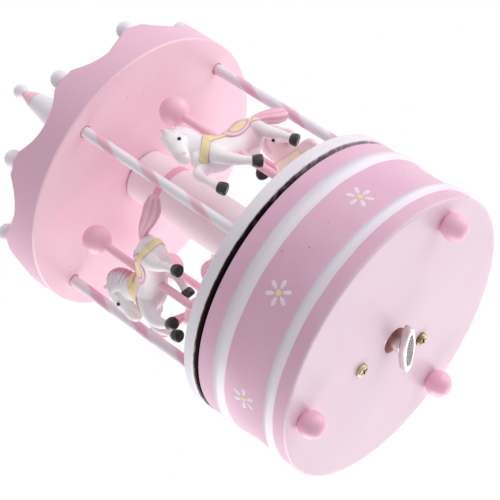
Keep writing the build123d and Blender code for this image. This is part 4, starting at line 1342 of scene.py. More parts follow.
@dataclass
class Canopy:
    """Fluted canopy with its rim balls and spire."""

    radius: float = 50.6
    bottom: float = 117.7
    skirt: float = 2.0
    tip_level: float = 131.8
    dip_level: float = 127.1
    lip_width: float = 0.5
    lip_rise: float = 0.45
    ridge_softness: float = 0.25
    shell_sides: int = 480
    tips: int = 10
    tip_angle: float = 8.0
    tip_width: float = 5.8
    rim_ball: float = 3.0
    rim_circle: float = 47.85
    rim_level: float = 134.73
    seat_radius: float = 7.2
    spire_level: float = 155.8
    spire_foot: float = 16.7
    spire_height: float = 22.5
    foot_radii: tuple[float, ...] = (7.0, 6.3, 3.55, 3.45)
    foot_sides: int = 64
    cone_radii: tuple[float, float] = (3.4, 1.5)
    cone_sides: int = 48
    spire_ball: float = 2.65
    ball_rise: float = 2.3

    def roof(self, radius: np.ndarray, angle: np.ndarray) -> np.ndarray:
        """Height of the roof: the lower of a cone and of a round flute that widens from the apex.

        Args:
            radius: radii in millimetres.
            angle: angles in radians.

        Returns:
            The heights.
        """
        slope = (self.spire_level - self.tip_level) / (self.radius - self.seat_radius)
        apex = self.spire_level + slope * self.seat_radius
        step = TURN / self.tips
        half_width = self.radius * np.sin(step / 2 - self.tip_width / 2 / self.radius)
        depth = self.tip_level - self.dip_level
        flute = (half_width**2 + depth**2) / (2 * depth)
        drop = apex - self.dip_level - flute
        off = (angle - np.radians(self.tip_angle)) % step - step / 2
        across, out = radius * np.sin(off), radius * np.cos(off) / self.radius
        gap = np.sqrt(np.clip((flute * out) ** 2 - across**2, 0, None))
        cut = apex - drop * out - gap
        cone = apex - slope * radius
        soft = self.ridge_softness
        lower = np.minimum(cone, cut) - soft * np.log1p(np.exp(-np.abs(cone - cut) / soft))
        return np.minimum(lower, self.spire_level)

    def shell(self) -> Patch:
        """Canopy: a flat disc below, a wall as high as the roof at the rim, and the roof.

        Returns:
            The patch.
        """
        angle = np.linspace(0, TURN, self.shell_sides + 1)
        skirt = self.bottom + self.skirt
        under = refined(rounded([(0, self.bottom, 0), (self.radius, self.bottom, 0.8), (self.radius, skirt, 0)]), 2.0)
        lower = np.broadcast_to(under[:, None, :], (len(under), len(angle), 2))
        inner = self.radius - self.lip_width
        rim = self.roof(np.full_like(angle, inner), angle)
        wall_top = (rim - self.lip_rise)[None, :]
        share = np.linspace(0.08, 1, 14)[:, None]
        wall = np.stack(np.broadcast_arrays(self.radius, skirt + share * (wall_top - skirt)), axis=-1)
        turn = np.radians(np.linspace(15, 75, 4))[:, None]
        lip = np.stack(np.broadcast_arrays(
            self.radius - self.lip_width * (1 - np.cos(turn)), wall_top + self.lip_rise * np.sin(turn)), axis=-1)
        seat = self.seat_radius
        radii = np.concatenate([np.linspace(inner, seat + 0.3, 40), [seat, 4.0, 0.0]])
        grid = np.broadcast_to(radii[:, None], (len(radii), len(angle)))
        roof = np.stack([grid, self.roof(grid, angle[None, :])], axis=-1)
        profile = np.concatenate([lower, wall, lip, roof])
        radius, height = profile[..., 0], profile[..., 1]
        points = np.stack([radius * np.cos(angle), radius * np.sin(angle), height], axis=-1)
        uv = np.stack(np.broadcast_arrays(angle[None, :] / TURN, height * MM), axis=-1)
        near = np.minimum(np.abs(height - self.bottom), np.abs(height - rim[None, :]))
        edge = np.exp(-((near / EDGE_REACH) ** 2)) * (np.abs(radius - self.radius) < 0.9)
        return Patch(points, uv, marks={"edge": edge})

    def spire(self) -> tuple[Patch, Patch, Patch]:
        """Two turned cones and a ball.

        Returns:
            The patches of base, cone and ball.
        """
        low, mid, high = self.spire_level + np.array([0, self.spire_foot, self.spire_height])
        rim, hip, neck, collar = self.foot_radii
        base = turned(rounded([(0, low, 0), (rim, low, 0.4), (hip, low + 2.6, 0.3), (neck, mid - 1.4, 0.3),
                               (collar, mid, 0.35), (0, mid, 0)]), self.foot_sides)
        wide, narrow = self.cone_radii
        cone = turned(rounded([(0, mid, 0), (wide, mid, 0.3), (narrow, high, 0.3), (0, high, 0)]), self.cone_sides)
        top = ball(self.spire_ball).moved(placement(0, 0, high + self.ball_rise))
        return base, cone, top

    def build(self, looks: Finishes) -> None:
        """Make, dress and tie the canopy, its balls and its spire.

        Args:
            looks: the finishes.
        """
        body = "turntable"
        fit(piece("canopy_roof", [self.shell()], [looks.canopy]), body, "pink_paint", "canopy")
        places = on_circle(self.rim_circle, self.tip_angle, self.tips)
        balls = [ball(self.rim_ball).moved(placement(x, y, self.rim_level, turn)) for x, y, turn in places]
        fit(piece("rim_beads", balls, [looks.white]), body, "white_paint", "rim_balls")
        base, cone, top = self.spire()
        fit(piece("spire_foot", [base], [looks.white]), body, "white_paint", "spire_base")
        fit(piece("spire_taper", [cone], [looks.rose]), body, "pink_paint", "spire_cone")
        fit(piece("spire_tip", [top], [looks.white]), body, "white_paint", "spire_ball")


# Horses


Stations = tuple[tuple[float, float, float, float, float], ...]


@dataclass
class HorseCarving:
    """One carved horse in its own axes: +X forward, +Y outward from the turntable, Z above the platform.

    Each row of stations is forward, sideways, height, half depth and half width. Each row of spots is forward,
    sideways, height, radius and strength, and each row of hooves is the place of the top and then of the sole.
    """

    torso: Stations = (
        (-14.2, -0.3, 31.9, 2.6, 2.5), (-12.4, -0.5, 31.4, 4.3, 4.0), (-8.6, -0.6, 30.6, 5.8, 5.2),
        (-3.5, -0.6, 30.2, 5.3, 4.8), (1.5, -0.6, 30.1, 5.4, 4.8), (6.0, -0.4, 30.6, 6.1, 5.1),
        (10.0, -0.2, 31.4, 5.2, 4.5), (12.4, 0, 32.2, 3.0, 2.8),
    )
    neck: Stations = (
        (6.6, 0, 32.8, 5.6, 4.5), (9.0, 0.6, 37.2, 4.9, 3.8), (11.0, 1.4, 41.0, 4.0, 3.2), (12.2, 1.9, 44.2, 3.0, 2.7),
    )
    head: Stations = (
        (11.8, 1.9, 45.6, 2.3, 2.0), (13.0, 2.5, 43.0, 3.3, 2.9), (14.6, 3.2, 39.6, 3.2, 2.7),
        (16.1, 3.2, 36.6, 2.65, 2.3), (17.0, 3.1, 34.4, 2.5, 2.4), (17.4, 3.0, 32.9, 2.0, 2.0),
    )
    cheek: Stations = (
        (11.8, 2.4, 42.0, 1.4, 2.6), (12.5, 2.8, 40.0, 2.3, 2.9), (13.8, 3.1, 37.8, 1.6, 2.2),
    )
    legs: tuple[Stations, ...] = (
        ((-10.0, 2.2, 30.2, 3.9, 2.8), (-10.6, 3.1, 26.6, 2.6, 2.3), (-11.7, 3.4, 23.2, 1.9, 1.7),
         (-13.0, 3.3, 20.8, 1.6, 1.5), (-13.8, 3.2, 18.4, 1.35, 1.35), (-14.3, 3.1, 17.0, 1.5, 1.45)),
        ((-9.0, -2.4, 30.4, 4.3, 2.9), (-5.4, -3.0, 25.4, 3.1, 2.3), (-4.6, -3.1, 22.2, 1.9, 1.6),
         (-3.9, -3.1, 20.6, 1.6, 1.5), (-1.9, -3.0, 18.4, 1.25, 1.25), (-1.2, -2.9, 17.5, 1.5, 1.45)),
        ((8.2, 2.4, 30.0, 3.8, 2.9), (9.6, 4.2, 26.2, 2.9, 2.5), (10.0, 5.4, 23.0, 2.2, 2.1),
         (8.8, 6.1, 19.6, 1.9, 1.8), (6.8, 6.5, 16.4, 1.4, 1.4), (5.8, 6.6, 15.0, 1.5, 1.45)),
        ((8.2, -2.0, 30.0, 3.6, 2.7), (13.0, -0.6, 28.6, 2.6, 2.2), (17.2, 0.9, 27.0, 1.9, 1.8),
         (18.4, 1.2, 25.2, 1.7, 1.6), (17.8, 0.8, 21.2, 1.25, 1.25), (17.2, 0.5, 18.6, 1.5, 1.45)),
    )
    hooves: tuple[tuple[float, float, float, float, float, float], ...] = (
        (-14.2, 3.1, 17.0, -15.0, 3.1, 14.6), (-1.3, -2.9, 17.5, 0.2, -2.9, 15.2),
        (6.0, 6.6, 15.1, 3.5, 6.6, 12.9), (17.2, 0.5, 18.7, 16.2, 0.4, 15.8),
    )
    tail: Stations = (
        (-12.4, -0.2, 33.2, 1.5, 1.5), (-15.6, -0.4, 34.0, 1.6, 1.6), (-19.0, -1.0, 33.8, 2.2, 2.0),
        (-22.8, -2.0, 33.0, 2.9, 2.4), (-26.0, -3.0, 32.8, 3.2, 2.5), (-28.4, -3.9, 33.2, 2.5, 1.8),
    )
    ear: Stations = ((12.4, 1.4, 45.0, 1.3, 1.1), (13.2, 1.7, 46.5, 1.0, 0.8), (13.8, 1.8, 47.7, 0.4, 0.35))
    ear_offset: float = 2.2
    rows_per_station: int = 12
    cap_rows: int = 8
    cap_length: float = 0.8
    fold_twist: float = 2.2
    hoof_radii: Point = (1.7, 2.2, 2.0)
    hoof_grip: float = 0.2
    hoof_sides: int = 28
    tail_sides: int = 96
    tail_folds: int = 7
    tail_fold_depth: float = 0.10
    mane_centre: tuple[float, float] = (13.0, 38.8)
    mane_first: float = 76.0
    mane_last: float = 206.0
    mane_locks: int = 14
    mane_inner: float = 2.2
    mane_ends: float = 3.0
    mane_reach: float = 6.0
    mane_crown: float = 0.7
    lock_rise: float = 0.25
    lock_depth: float = 0.2
    mane_root: float = 5.1
    mane_taper: float = 3.4
    mane_bend: float = 0.20
    mane_offset: float = 2.2
    eye: Point = (14.1, 2.7, 38.8)
    eye_offset: float = 3.2
    eye_radius: float = 0.62
    head_spots: Stations = ((17.6, 3.0, 34.6, 1.5, 0.7), (17.4, 5.0, 33.4, 0.6, 0.9), (13.4, 4.2, 47.0, 1.6, 0.5))
    body_spots: Stations = (
        (-5.6, 0.4, 25.4, 3.8, 0.5), (-7.0, -4.8, 27.0, 3.4, 0.35), (3.6, 0, 25.0, 3.8, 0.5),
        (-6.4, 4.0, 25.6, 2.4, 0.3), (-4.2, -3.2, 20.4, 2.8, 0.55), (9.0, 4.6, 20.0, 2.0, 0.3),
        (18.0, 1.0, 24.0, 2.4, 0.3), (-14.4, -0.3, 31.0, 2.2, 0.4), (-8.2, 5.0, 27.8, 2.2, 0.3),
    )
    head_turn: float = 1.0
    voxel: float = 0.36
    smoothing: int = 5

    @staticmethod
    def line(rows: np.ndarray, count: int) -> np.ndarray:
        """Smooth rows between stations, each span a cubic that passes through its two stations.

        Args:
            rows: the stations.
            count: number of rows to give.

        Returns:
            The smooth rows.
        """
        place = np.linspace(0, len(rows) - 1, count)
        span = np.minimum(place.astype(int), len(rows) - 2)
        t = (place - span)[:, None]
        padded = np.vstack([2 * rows[:1] - rows[1:2], rows, 2 * rows[-1:] - rows[-2:-1]])
        a, b, c, d = padded[span], padded[span + 1], padded[span + 2], padded[span + 3]
        return 0.5 * (2 * b + (c - a) * t + (2 * a - 5 * b + 4 * c - d) * t**2 + (3 * b - a - 3 * c + d) * t**3)

    def limb(self, stations: Stations, sides: int = 32, folds: int = 0, fold_depth: float = 0.0) -> Patch:
        """Tube of ellipses along the stations with round ends; folds press lengthwise grooves into it.

        Args:
            stations: the stations.
            sides: points round the tube.
            folds: number of grooves.
            fold_depth: depth of a groove as a share of the radius.

        Returns:
            The patch, marked in its grooves and towards its tip.
        """
        rows = self.line(np.array(stations, float), self.rows_per_station * len(stations))
        cap = np.linspace(0, np.pi / 2, self.cap_rows)[:, None]
        head, rear = np.gradient(rows[:, :3], axis=0)[[0, -1]]
        head, rear = head / np.linalg.norm(head), rear / np.linalg.norm(rear)
        start = np.repeat(rows[:1], self.cap_rows, axis=0)
        start[:, 3:] *= np.sin(cap)
        start[:, :3] -= np.cos(cap) * head * min(rows[0, 3:]) * self.cap_length
        finish = np.repeat(rows[-1:], self.cap_rows, axis=0)
        finish[:, 3:] *= np.cos(cap)
        finish[:, :3] += np.sin(cap) * rear * min(rows[-1, 3:]) * self.cap_length
        rows = np.vstack([start[:-1], rows, finish[1:]])
        tangent = np.gradient(rows[:, :3], axis=0)
        tangent /= np.maximum(np.linalg.norm(tangent, axis=1, keepdims=True), TINY)
        side = np.array([0, 1.0, 0]) - tangent * tangent[:, 1:2]
        side /= np.linalg.norm(side, axis=1, keepdims=True)
        up = np.cross(tangent, side)
        turn = np.linspace(0, TURN, sides + 1)[None, :, None]
        run = np.linspace(0, 1, len(rows))[:, None]
        phase = folds * turn[..., 0] + self.fold_twist * run
        wave = 0.5 - 0.5 * np.cos(phase) if folds else 0 * phase
        swell = (1 - fold_depth * wave)[..., None]
        points = rows[:, None, :3] + swell * (
            rows[:, None, 3:4] * np.cos(turn) * up[:, None] + rows[:, None, 4:] * np.sin(turn) * side[:, None]
        )
        uv = np.stack(np.broadcast_arrays(turn[..., 0] / TURN, run), axis=-1)
        tip = np.broadcast_to(np.clip(run * 1.6 - 0.9, 0, 1), wave.shape)
        return Patch(points, uv, marks={"groove": wave**3, "tip": tip})

    def turned_head(self, stations: Stations, offset: float = 0.0, side: float | None = None) -> Stations:
        """Carry stations of the head sideways by the share that the head is turned outwards.

        Args:
            stations: the stations of a turned head, or of one of a pair about its middle.
            offset: sideways place of the middle of a pair in a turned head.
            side: 1 or -1 for one of a pair.

        Returns:
            The stations in the head's real place.
        """
        rows = np.array(stations, float)
        rows[:, 1] = rows[:, 1] * self.head_turn if side is None else offset * self.head_turn + side * rows[:, 1]
        return tuple(map(tuple, rows))

    def mane(self) -> Patch:
        """Fan of locks: a flat pillow in polar coordinates about the neck, notched between the locks.

        Returns:
            The patch, marked in its grooves and towards its tips.
        """
        share = np.linspace(0, 1, 181)[:, None]
        angle = np.radians(self.mane_first + (self.mane_last - self.mane_first) * share)
        turn = np.linspace(0, TURN, 41)[None, :]
        lock = np.sqrt(0.5 - 0.5 * np.cos(TURN * self.mane_locks * share))
        ends = np.sqrt(np.clip(1 - (2 * share - 1) ** 6, 0, 1))
        inner = self.mane_inner
        outer = self.mane_ends + (self.mane_reach + self.lock_rise * lock) * ends
        outer = outer + self.mane_crown * np.sin(np.pi * share)
        out = inner + (outer - inner) * (0.5 - 0.5 * np.cos(turn))
        reach = (out - inner) / (outer - inner)
        combed = 1 - self.lock_depth * (1 - lock) * np.clip(2 * reach - 0.5, 0, 1)
        swell = np.sign(np.sin(turn)) * np.abs(np.sin(turn)) ** 0.6
        thick = swell * ends * combed * (self.mane_root - self.mane_taper * reach)
        bent = angle + self.mane_bend * reach**2
        points = np.stack([
            self.mane_centre[0] + out * np.cos(bent),
            thick + self.head_turn * self.mane_offset * (1 - share) + 0 * out,
            self.mane_centre[1] + out * np.sin(bent),
        ], axis=-1)
        uv = np.stack(np.broadcast_arrays(share, reach), axis=-1)
        # two waves that never fall in step let each groove start at a reach of its own
        start = 0.56 + 0.16 * np.sin(9.1 * TURN * share) + 0.08 * np.sin(23.3 * TURN * share)
        groove = (1 - lock) ** 1.8 * np.clip(4 * (reach - start), 0, 1)
        tip = np.clip(5.0 * reach - 4.3 + 0.6 * share, 0, 1)
        return Patch(points, uv, marks={"groove": groove, "tip": tip})

    def hoof(self, row: Sequence[float]) -> Patch:
        """Short flared cone with rounded edges between two points.

        Args:
            row: x, y, z of the top and then of the sole.

        Returns:
            The patch.
        """
        top, sole = np.array(row[:3]), np.array(row[3:])
        way = sole - top
        length = np.linalg.norm(way)
        way = way / length
        side = np.cross(way, [0, 1.0, 0])
        across = np.cross(side, way)
        high, (upper, widest, lower) = -self.hoof_grip, self.hoof_radii
        flat = turned(rounded([(0, high, 0), (upper, high, 0.5), (widest, 0.6 * length, 1.0), (lower, length, 0.9),
                               (0, length + 0.1, 0)]), self.hoof_sides)
        place = np.eye(4)
        place[:3, :3] = np.stack([side, across, way], axis=1)
        place[:3, 3] = top
        return flat.moved(place)

    def eyes(self) -> list[Patch]:
        """Two small glossy domes.

        Returns:
            The patches.
        """
        dome = ball(self.eye_radius)
        x, y, z = self.eye
        middle = self.head_turn * self.eye_offset
        return [dome.moved(placement(x, middle + side * y, z)) for side in (1, -1)]

    def carve(self) -> tuple[np.ndarray, np.ndarray]:
        """Melt the limbs into one skin by a voxel remesh and smooth it.

        Returns:
            Points in millimetres and the faces.
        """
        turned_rows = tuple(self.turned_head(rows) for rows in (self.neck, self.head, self.cheek))
        ears = tuple(self.turned_head(self.ear, self.ear_offset, side) for side in (1, -1))
        limbs = [self.limb(rows) for rows in (self.torso,) + turned_rows + self.legs + ears]
        rough = piece("horse_blank", limbs, [])
        melt = rough.modifiers.new("melt", "REMESH")
        melt.mode = "VOXEL"
        melt.voxel_size = self.voxel * MM
        ease = rough.modifiers.new("ease", "SMOOTH")
        ease.factor = 0.5
        ease.iterations = self.smoothing
        view = bpy.context.evaluated_depsgraph_get()
        mesh = bpy.data.meshes.new_from_object(rough.evaluated_get(view))
        points = np.empty(len(mesh.vertices) * 3)
        mesh.vertices.foreach_get("co", points)
        loops = np.empty(len(mesh.loops), np.int32)
        mesh.loops.foreach_get("vertex_index", loops)
        bpy.data.objects.remove(rough)
        return points.reshape(-1, 3) / MM, loops.reshape(-1, 4)

    def blush(self, points: np.ndarray) -> np.ndarray:
        """Airbrushed colour: the sum of soft round spots on muzzle, ear, flanks and legs.

        Args:
            points: points of the skin in millimetres.

        Returns:
            The mark from 0 to 1.
        """
        spots = np.array(self.turned_head(self.head_spots) + self.body_spots)
        far = np.linalg.norm(points[:, None, :] - spots[None, :, :3], axis=2)
        return np.clip((spots[:, 4] * np.exp(-((far / spots[:, 3]) ** 2))).sum(axis=1), 0, 1)


@dataclass
class Stable:
    """The four horses on their places of the turntable: one carving, with the head turned by the coat.

    Centres and halves of the tack are forward and upward in the horse's axes, and forward and sideways on the seat.
    """

    head_turns: dict[Coat, float] = field(default_factory=lambda: {Coat.WHITE: 1.0, Coat.PINK: 0.0})
    circle: float = 34.35
    first: float = 17.9
    level: float = 50.2
    coats: tuple[Coat, ...] = (Coat.WHITE, Coat.WHITE, Coat.PINK, Coat.PINK)
    strap_lift: float = 0.12
    strap_thickness: float = 0.34
    strap_reach: float = 9.0
    strap_border: float = 0.58
    breast_centre: Point = (8.6, 0.2, 32.4)
    breast_normal: Point = (0.62, 0, 0.785)
    breast_width: float = 3.0
    breast_arc: float = 0.92 * TURN
    crupper_centre: Point = (-9.4, -0.5, 30.8)
    crupper_normal: Point = (-0.29, 0, 0.957)
    crupper_width: float = 2.2
    crupper_arc: float = 0.5 * TURN
    flap_centre: tuple[float, float] = (-5.4, 31.7)
    flap_half: tuple[float, float] = (6.4, 3.9)
    bar_start: tuple[float, float] = (-0.4, 31.9)
    bar_run: tuple[float, float] = (7.2, 2.2)
    bar_half: float = 1.2
    bar_flare: float = 0.8
    bar_slant: float = 0.4
    bar_border: float = 0.55
    seat_centre: float = -4.4
    seat_half: tuple[float, float] = (4.4, 3.4)
    seat_waist: float = 0.12
    seat_loose: float = 44.0
    seat_border: float = 0.3

    def strap(self, centre: Point, normal: Point, width: float, arc: float) -> Patch:
        """Flat band round the body: an arc in a tilted plane, swept along the normal by its width.

        Args:
            centre: middle of the arc's circle.
            normal: direction that the circle faces.
            width: width of the band in millimetres.
            arc: angle of the arc in radians, half of it to each side of the rear.

        Returns:
            The patch, marked from its middle to its edges.
        """
        way = np.array(normal, float) / np.linalg.norm(normal)
        side = np.array([0, 1.0, 0])
        up = np.cross(way, side)
        turn = np.linspace(-arc / 2, arc / 2, 97)[None, :, None]
        across = np.linspace(-0.5, 0.5, 9)[:, None, None]
        round_body = self.strap_reach * (np.cos(turn) * up + np.sin(turn) * side)
        points = np.array(centre) + round_body + across * width * way
        border = np.broadcast_to(np.abs(across[..., 0]) * 2, points.shape[:2])
        uv = np.stack(np.broadcast_arrays(turn[..., 0], across[..., 0]), axis=-1)
        return Patch(points, uv, marks={"border": border * self.strap_border})

    def flap(self, side: int) -> Patch:
        """Saddle cloth on one flank: a teardrop disc held away from the body until it is drawn in.

        Args:
            side: 1 for the outer flank and -1 for the inner one.

        Returns:
            The patch, marked from its middle to its edge.
        """
        rho = np.linspace(0, 1, 15)[:, None]
        phi = np.linspace(0, TURN, 65)[None, :]
        drop = 0.8 + 0.2 * np.cos(phi)
        (x, z), (half_length, half_height) = self.flap_centre, self.flap_half
        along, across = half_length * rho * np.cos(phi), half_height * rho * np.sin(phi) * drop
        points = np.stack([x + along, np.full_like(along, self.strap_reach * side), z + across], axis=-1)
        return Patch(points, np.stack([along, across], axis=-1), marks={"border": rho + 0 * phi})

    def bar(self, side: int) -> Patch:
        """Straight strap on one flank from the saddle to the breast strap, held away until it is drawn in.

        Args:
            side: 1 for the outer flank and -1 for the inner one.

        Returns:
            The patch, marked from its middle to its edges.
        """
        along = np.linspace(0, 1, 21)[:, None]
        across = np.linspace(-1, 1, 9)[None, :]
        (x, z), (forward, climb) = self.bar_start, self.bar_run
        points = np.stack(np.broadcast_arrays(
            x + forward * along - self.bar_slant * across, self.strap_reach * side,
            z + climb * along + (self.bar_half + self.bar_flare * along**2) * across,
        ), axis=-1)
        uv = np.stack(np.broadcast_arrays(along, across), axis=-1)
        return Patch(points, uv, marks={"border": self.bar_border * np.abs(across) + 0 * along})

    def seat(self) -> Patch:
        """Saddle seat over the back: a rectangle with a dip in the middle, held above until it is drawn in.

        Returns:
            The patch, marked from its middle to its edge.
        """
        along = np.linspace(-1, 1, 29)[:, None]
        across = np.linspace(-1, 1, 33)[None, :]
        half_length, half_width = self.seat_half
        points = np.stack(np.broadcast_arrays(
            self.seat_centre + half_length * along * (1 - self.seat_waist * across**2),
            half_width * across, self.seat_loose,
        ), axis=-1)
        border = np.maximum(np.abs(along), np.abs(across))
        uv = np.stack(np.broadcast_arrays(along, across), axis=-1)
        return Patch(points, uv, marks={"border": self.seat_border + (1 - self.seat_border) * border})

    def drawn_in(self, patch: Patch, target: bpy.types.Object, axis: str | None) -> bpy.types.Mesh:
        """Lay a patch on the skin and give it thickness.

        Args:
            patch: the loose patch.
            target: object with the skin.
            axis: axis of projection, or None to go straight in along the patch's normals.

        Returns:
            The fitted mesh.
        """
        loose = piece("loose_tack", [patch], [])
        wrap = loose.modifiers.new("lay", "SHRINKWRAP")
        wrap.target = target
        wrap.offset = self.strap_lift * MM
        wrap.wrap_method = "PROJECT"
        wrap.use_project_y = axis == "Y"
        wrap.use_project_z = axis == "Z"
        wrap.use_negative_direction = True
        wrap.use_positive_direction = True
        wall = loose.modifiers.new("wall", "SOLIDIFY")
        wall.thickness = self.strap_thickness * MM
        wall.offset = 0.0
        view = bpy.context.evaluated_depsgraph_get()
        mesh = bpy.data.meshes.new_from_object(loose.evaluated_get(view))
        bpy.data.objects.remove(loose)
        return mesh

    def skin(self, name: str, carving: HorseCarving, points: np.ndarray, faces: np.ndarray) -> bpy.types.Object:
        """Make an object of the carved skin with its airbrush mark.

        Args:
            name: name of the object.
            carving: the carving that the skin belongs to.
            points: points in millimetres in the horse's axes.
            faces: the faces.

        Returns:
            The object.
        """
        mesh = bpy.data.meshes.new(name)
        mesh.from_pydata((points * MM).tolist(), [], faces.tolist())
        store = mesh.attributes.new("blush", "FLOAT", "POINT")
        store.data.foreach_set("value", carving.blush(points).astype(np.float32))
        mesh.polygons.foreach_set("use_smooth", np.ones(len(faces), bool))
        thing = bpy.data.objects.new(name, mesh)
        bpy.context.scene.collection.objects.link(thing)
        return thing

    def tack(self, target: bpy.types.Object) -> bpy.types.Mesh:
        """Breast strap, crupper, saddle cloths and seat, fitted to the skin and joined.

        Args:
            target: object with the skin.

        Returns:
            The joined mesh.
        """
        laid = [
            (self.strap(self.breast_centre, self.breast_normal, self.breast_width, self.breast_arc), None),
            (self.strap(self.crupper_centre, self.crupper_normal, self.crupper_width, self.crupper_arc), None),
            (self.bar(1), "Y"), (self.bar(-1), "Y"), (self.flap(1), "Y"), (self.flap(-1), "Y"), (self.seat(), "Z"),
        ]
        joined = bmesh.new()
        for patch, axis in laid:
            mesh = self.drawn_in(patch, target, axis)
            joined.from_mesh(mesh)
            bpy.data.meshes.remove(mesh)
        made = bpy.data.meshes.new("tack")
        joined.to_mesh(made)
        joined.free()
        made.polygons.foreach_set("use_smooth", np.ones(len(made.polygons), bool))
        return made

    def build(self, looks: Finishes) -> None:
        """Carve a horse of each coat and set two copies of each on the turntable.

        Args:
            looks: the finishes.
        """
        places = on_circle(self.circle, self.first, len(self.coats))
        for coat, turn in self.head_turns.items():
            carving = HorseCarving(head_turn=turn)
            points, faces = carving.carve()
            model = self.skin("horse_model", carving, points, faces)
            tack = self.tack(model)
            bpy.data.objects.remove(model)
            mane = carving.mane()
            tail = carving.limb(carving.tail, carving.tail_sides, carving.tail_folds, carving.tail_fold_depth)
            tail.material = 1
            hard = [carving.hoof(row) for row in carving.hooves] + carving.eyes()
            for number in (index + 1 for index, own in enumerate(self.coats) if own is coat):
                x, y, angle = places[number - 1]
                place = placement(x, y, self.level, angle - 90)
                scaled = Matrix(place.tolist())
                scaled.translation *= MM
                body = self.skin(f"carved_horse_{number}", carving, points, faces)
                body.data.transform(scaled)
                body.data.materials.append(looks.coats[coat])
                fit(body, "turntable", coat.value, f"horse_{number}")
                gear = bpy.data.objects.new(f"horse_tack_{number}", tack.copy())
                gear.data.transform(scaled)
                gear.data.materials.append(looks.tack[coat])
                bpy.context.scene.collection.objects.link(gear)
                fit(gear, "turntable", coat.value)
                locks = piece(f"mane_and_tail_{number}", [mane.moved(place), tail.moved(place)],
                              [looks.mane[coat], looks.tail[coat]])
                fit(locks, "turntable", coat.value)
                tips = piece(f"hooves_and_eyes_{number}", [patch.moved(place) for patch in hard], [looks.hoof])
                fit(tips, "turntable", coat.value)


# Kept solids


@dataclass
class InnerWorks:
    """Solids of the model that show as they are, each with its finish."""

    steel: tuple[str, ...] = (
        "tuned_comb", "mainspring", "spindle", "flange_screws", "winding_arbor", "ratchet_wheel", "ratchet_click",
        "cylinder_shaft", "governor_shaft", "comb_screws",
    )
    zinc: tuple[str, ...] = (
        "bedplate", "comb_block", "cylinder_post_inner", "cylinder_post_outer", "governor_post_inner",
        "governor_post_outer", "governor_bridge", "drive_flange",
    )
    gear: tuple[str, ...] = ("spring_barrel", "pinned_cylinder", "governor_worm", "cylinder_pinion", "governor_pinion")
    plastic: tuple[str, ...] = ("crown_wheel", "worm_wheel", "governor_fan")
    timber: tuple[str, ...] = ("foot_dowels", "column_dowels", "spire_dowel")
    # the cover board is a real part; its black is partly painted shade for the gap under the platform
    board: tuple[str, ...] = ("base_cover",)
    brass: tuple[str, ...] = ("mounting_screws",)

    def dress(self, nodes: dict[str, bpy.types.Object], looks: Finishes) -> None:
        """Put the finish of each solid in its material places.

        Args:
            nodes: solids by name.
            looks: the finishes.
        """
        kinds = (
            (self.steel, looks.steel), (self.zinc, looks.zinc), (self.gear, looks.gear), (self.timber, looks.timber),
            (self.plastic, looks.plastic), (self.board, looks.board), (self.brass, looks.brass),
        )
        for names, material in kinds:
            for name in names:
                nodes[name].data.materials.clear()
                nodes[name].data.materials.append(material)
            log.info("%d solids take %s", len(names), material.name)


# Studio


@dataclass(frozen=True)
class Lamp:
    """Square lamp that faces the middle of the object; a white surface that faces it gains its level.

    Azimuth is its direction round the object and height its angle above the horizon, both in degrees. Its
    size, its distance from the middle and the middle's own height are in metres.
    """

    name: str
    azimuth: float
    height: float
    level: float
    size: float = 0.9
    distance: float = 0.9
    middle: float = 0.09

    def hang(self) -> None:
        """Make the lamp and turn it to the middle."""
        a, e = np.radians(self.azimuth), np.radians(self.height)
        way = np.array([np.cos(e) * np.cos(a), np.cos(e) * np.sin(a), np.sin(e)])
        light = bpy.data.lights.new(self.name, "AREA")
        light.size = self.size
        light.energy = self.level * np.pi**2 * self.distance**2
        made = bpy.data.objects.new(self.name, light)
        side = np.cross([0, 0, 1.0], way)
        side /= np.linalg.norm(side)
        axes = np.eye(4)
        axes[:3, 0], axes[:3, 1], axes[:3, 2] = side, np.cross(way, side), way
        axes[:3, 3] = way * self.distance + np.array([0, 0, self.middle])
        made.matrix_world = Matrix(axes.tolist())
        bpy.context.scene.collection.objects.link(made)


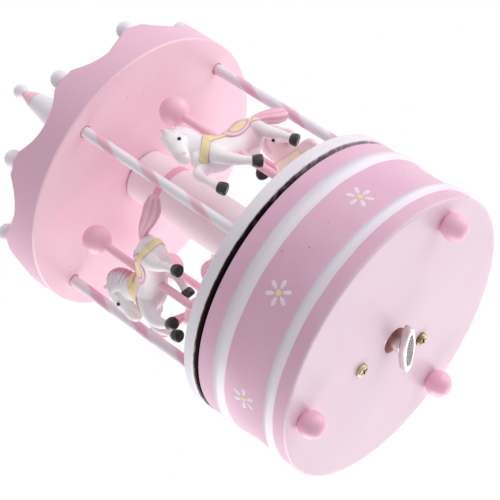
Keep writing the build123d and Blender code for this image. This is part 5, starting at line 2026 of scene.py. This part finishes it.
@dataclass
class Studio:
    """Floor, white surroundings, soft lamps and the camera of the photograph."""

    lens: float = 131.3
    sensor: float = 36.0
    nearest: float = 0.01
    eye: Point = (196.36, 482.60, -216.585)
    right: Point = (-0.6645, -0.1616, -0.7296)
    down: Point = (0.6713, -0.5580, -0.4879)
    ahead: Point = (-0.3283, -0.8140, 0.4793)
    ambient: float = 0.44
    floor_half: float = 4000.0
    floor_glow: float = 0.36
    floor_pale: Colour = (0.94, 0.94, 0.94, 1)
    lamps: tuple[Lamp, ...] = (
        Lamp("window_lamp", 249, -38, 0.52, size=1.2), Lamp("right_lamp", 160, -18, 0.62),
        Lamp("left_lamp", 315, -10, 0.98), Lamp("front_lamp", 110, -10, 0.20), Lamp("ceiling_lamp", 120, 62, 0.24),
    )

    def camera(self) -> None:
        """Place the camera by its axes and make it the scene's camera."""
        made = bpy.data.cameras.new("camera")
        made.lens = self.lens
        made.sensor_width = self.sensor
        made.clip_start = self.nearest
        seen = bpy.data.objects.new("camera", made)
        axes = np.eye(4)
        axes[:3, 0], axes[:3, 1], axes[:3, 2] = self.right, -np.array(self.down), -np.array(self.ahead)
        axes[:3, 3] = np.array(self.eye) * MM
        seen.matrix_world = Matrix(axes.tolist())
        bpy.context.scene.collection.objects.link(seen)
        bpy.context.scene.camera = seen

    def floor(self) -> None:
        """Pale floor that shows from above only, nearly white to the camera, and lets the room's light through."""
        material = bpy.data.materials.new("pale_floor")
        material.use_nodes = True
        tree = Tree(material.node_tree)
        tree.tree.nodes.clear()
        pale = tree.add("ShaderNodeBsdfDiffuse", {"Color": self.floor_pale})
        glow = tree.add("ShaderNodeEmission", {"Strength": self.floor_glow})
        lit = tree.add("ShaderNodeAddShader", {0: pale.outputs[0], 1: glow.outputs[0]})
        clear = tree.add("ShaderNodeBsdfTransparent")
        camera = tree.add("ShaderNodeLightPath").outputs["Is Camera Ray"]
        back = tree.add("ShaderNodeNewGeometry").outputs["Backfacing"]
        shown = tree.sum("MULTIPLY", camera, tree.sum("SUBTRACT", 1.0, back))
        both = tree.add("ShaderNodeMixShader", {0: shown, 1: clear.outputs[0], 2: lit.outputs[0]})
        tree.add("ShaderNodeOutputMaterial", {0: both.outputs[0]})
        half = self.floor_half
        square = np.array([[[-half, -half, 0], [half, -half, 0]], [[-half, half, 0], [half, half, 0]]], float)
        sheet = piece("floor", [Patch(square, np.zeros((2, 2, 2)))], [material])
        if sheet.data.polygons[0].normal.z < 0:
            sheet.data.flip_normals()
        sheet.visible_shadow = False

    def world(self) -> None:
        """White surroundings for sight and gloss, and an even room light for everything else."""
        world = bpy.data.worlds.new("white_room")
        bpy.context.scene.world = world
        world.use_nodes = True
        tree = Tree(world.node_tree)
        tree.tree.nodes.clear()
        path = tree.add("ShaderNodeLightPath").outputs
        seen = tree.sum("MAXIMUM", path["Is Camera Ray"],
                        tree.sum("MAXIMUM", path["Is Glossy Ray"], path["Is Transmission Ray"]))
        level = tree.sum("MULTIPLY_ADD", seen, 1 - self.ambient, self.ambient)
        back = tree.add("ShaderNodeBackground", {"Color": (1, 1, 1, 1), "Strength": level})
        tree.add("ShaderNodeOutputWorld", {0: back.outputs[0]})

    def build(self) -> None:
        """Set the scene's view, camera, floor, surroundings and lamps."""
        bpy.context.scene.view_settings.view_transform = "Standard"
        self.camera()
        self.floor()
        self.world()
        for lamp in self.lamps:
            lamp.hang()


def corners(box: Any) -> list[list[float]]:
    """Give the two corners of a box as plain lists."""
    return [[float(value) for value in corner] for corner in box]


def main() -> None:
    """Build the scene in order."""
    logging.basicConfig(level=logging.INFO, format="%(name)s: %(message)s")
    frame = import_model()
    looks = Finishes()
    Base().build(looks)
    Turntable().build(looks)
    Canopy().build(looks)
    Stable().build(looks)
    InnerWorks().dress(frame["nodes"], looks)
    Studio().build()
    log.info("sizes written")


if __name__ == "__main__":
    main()
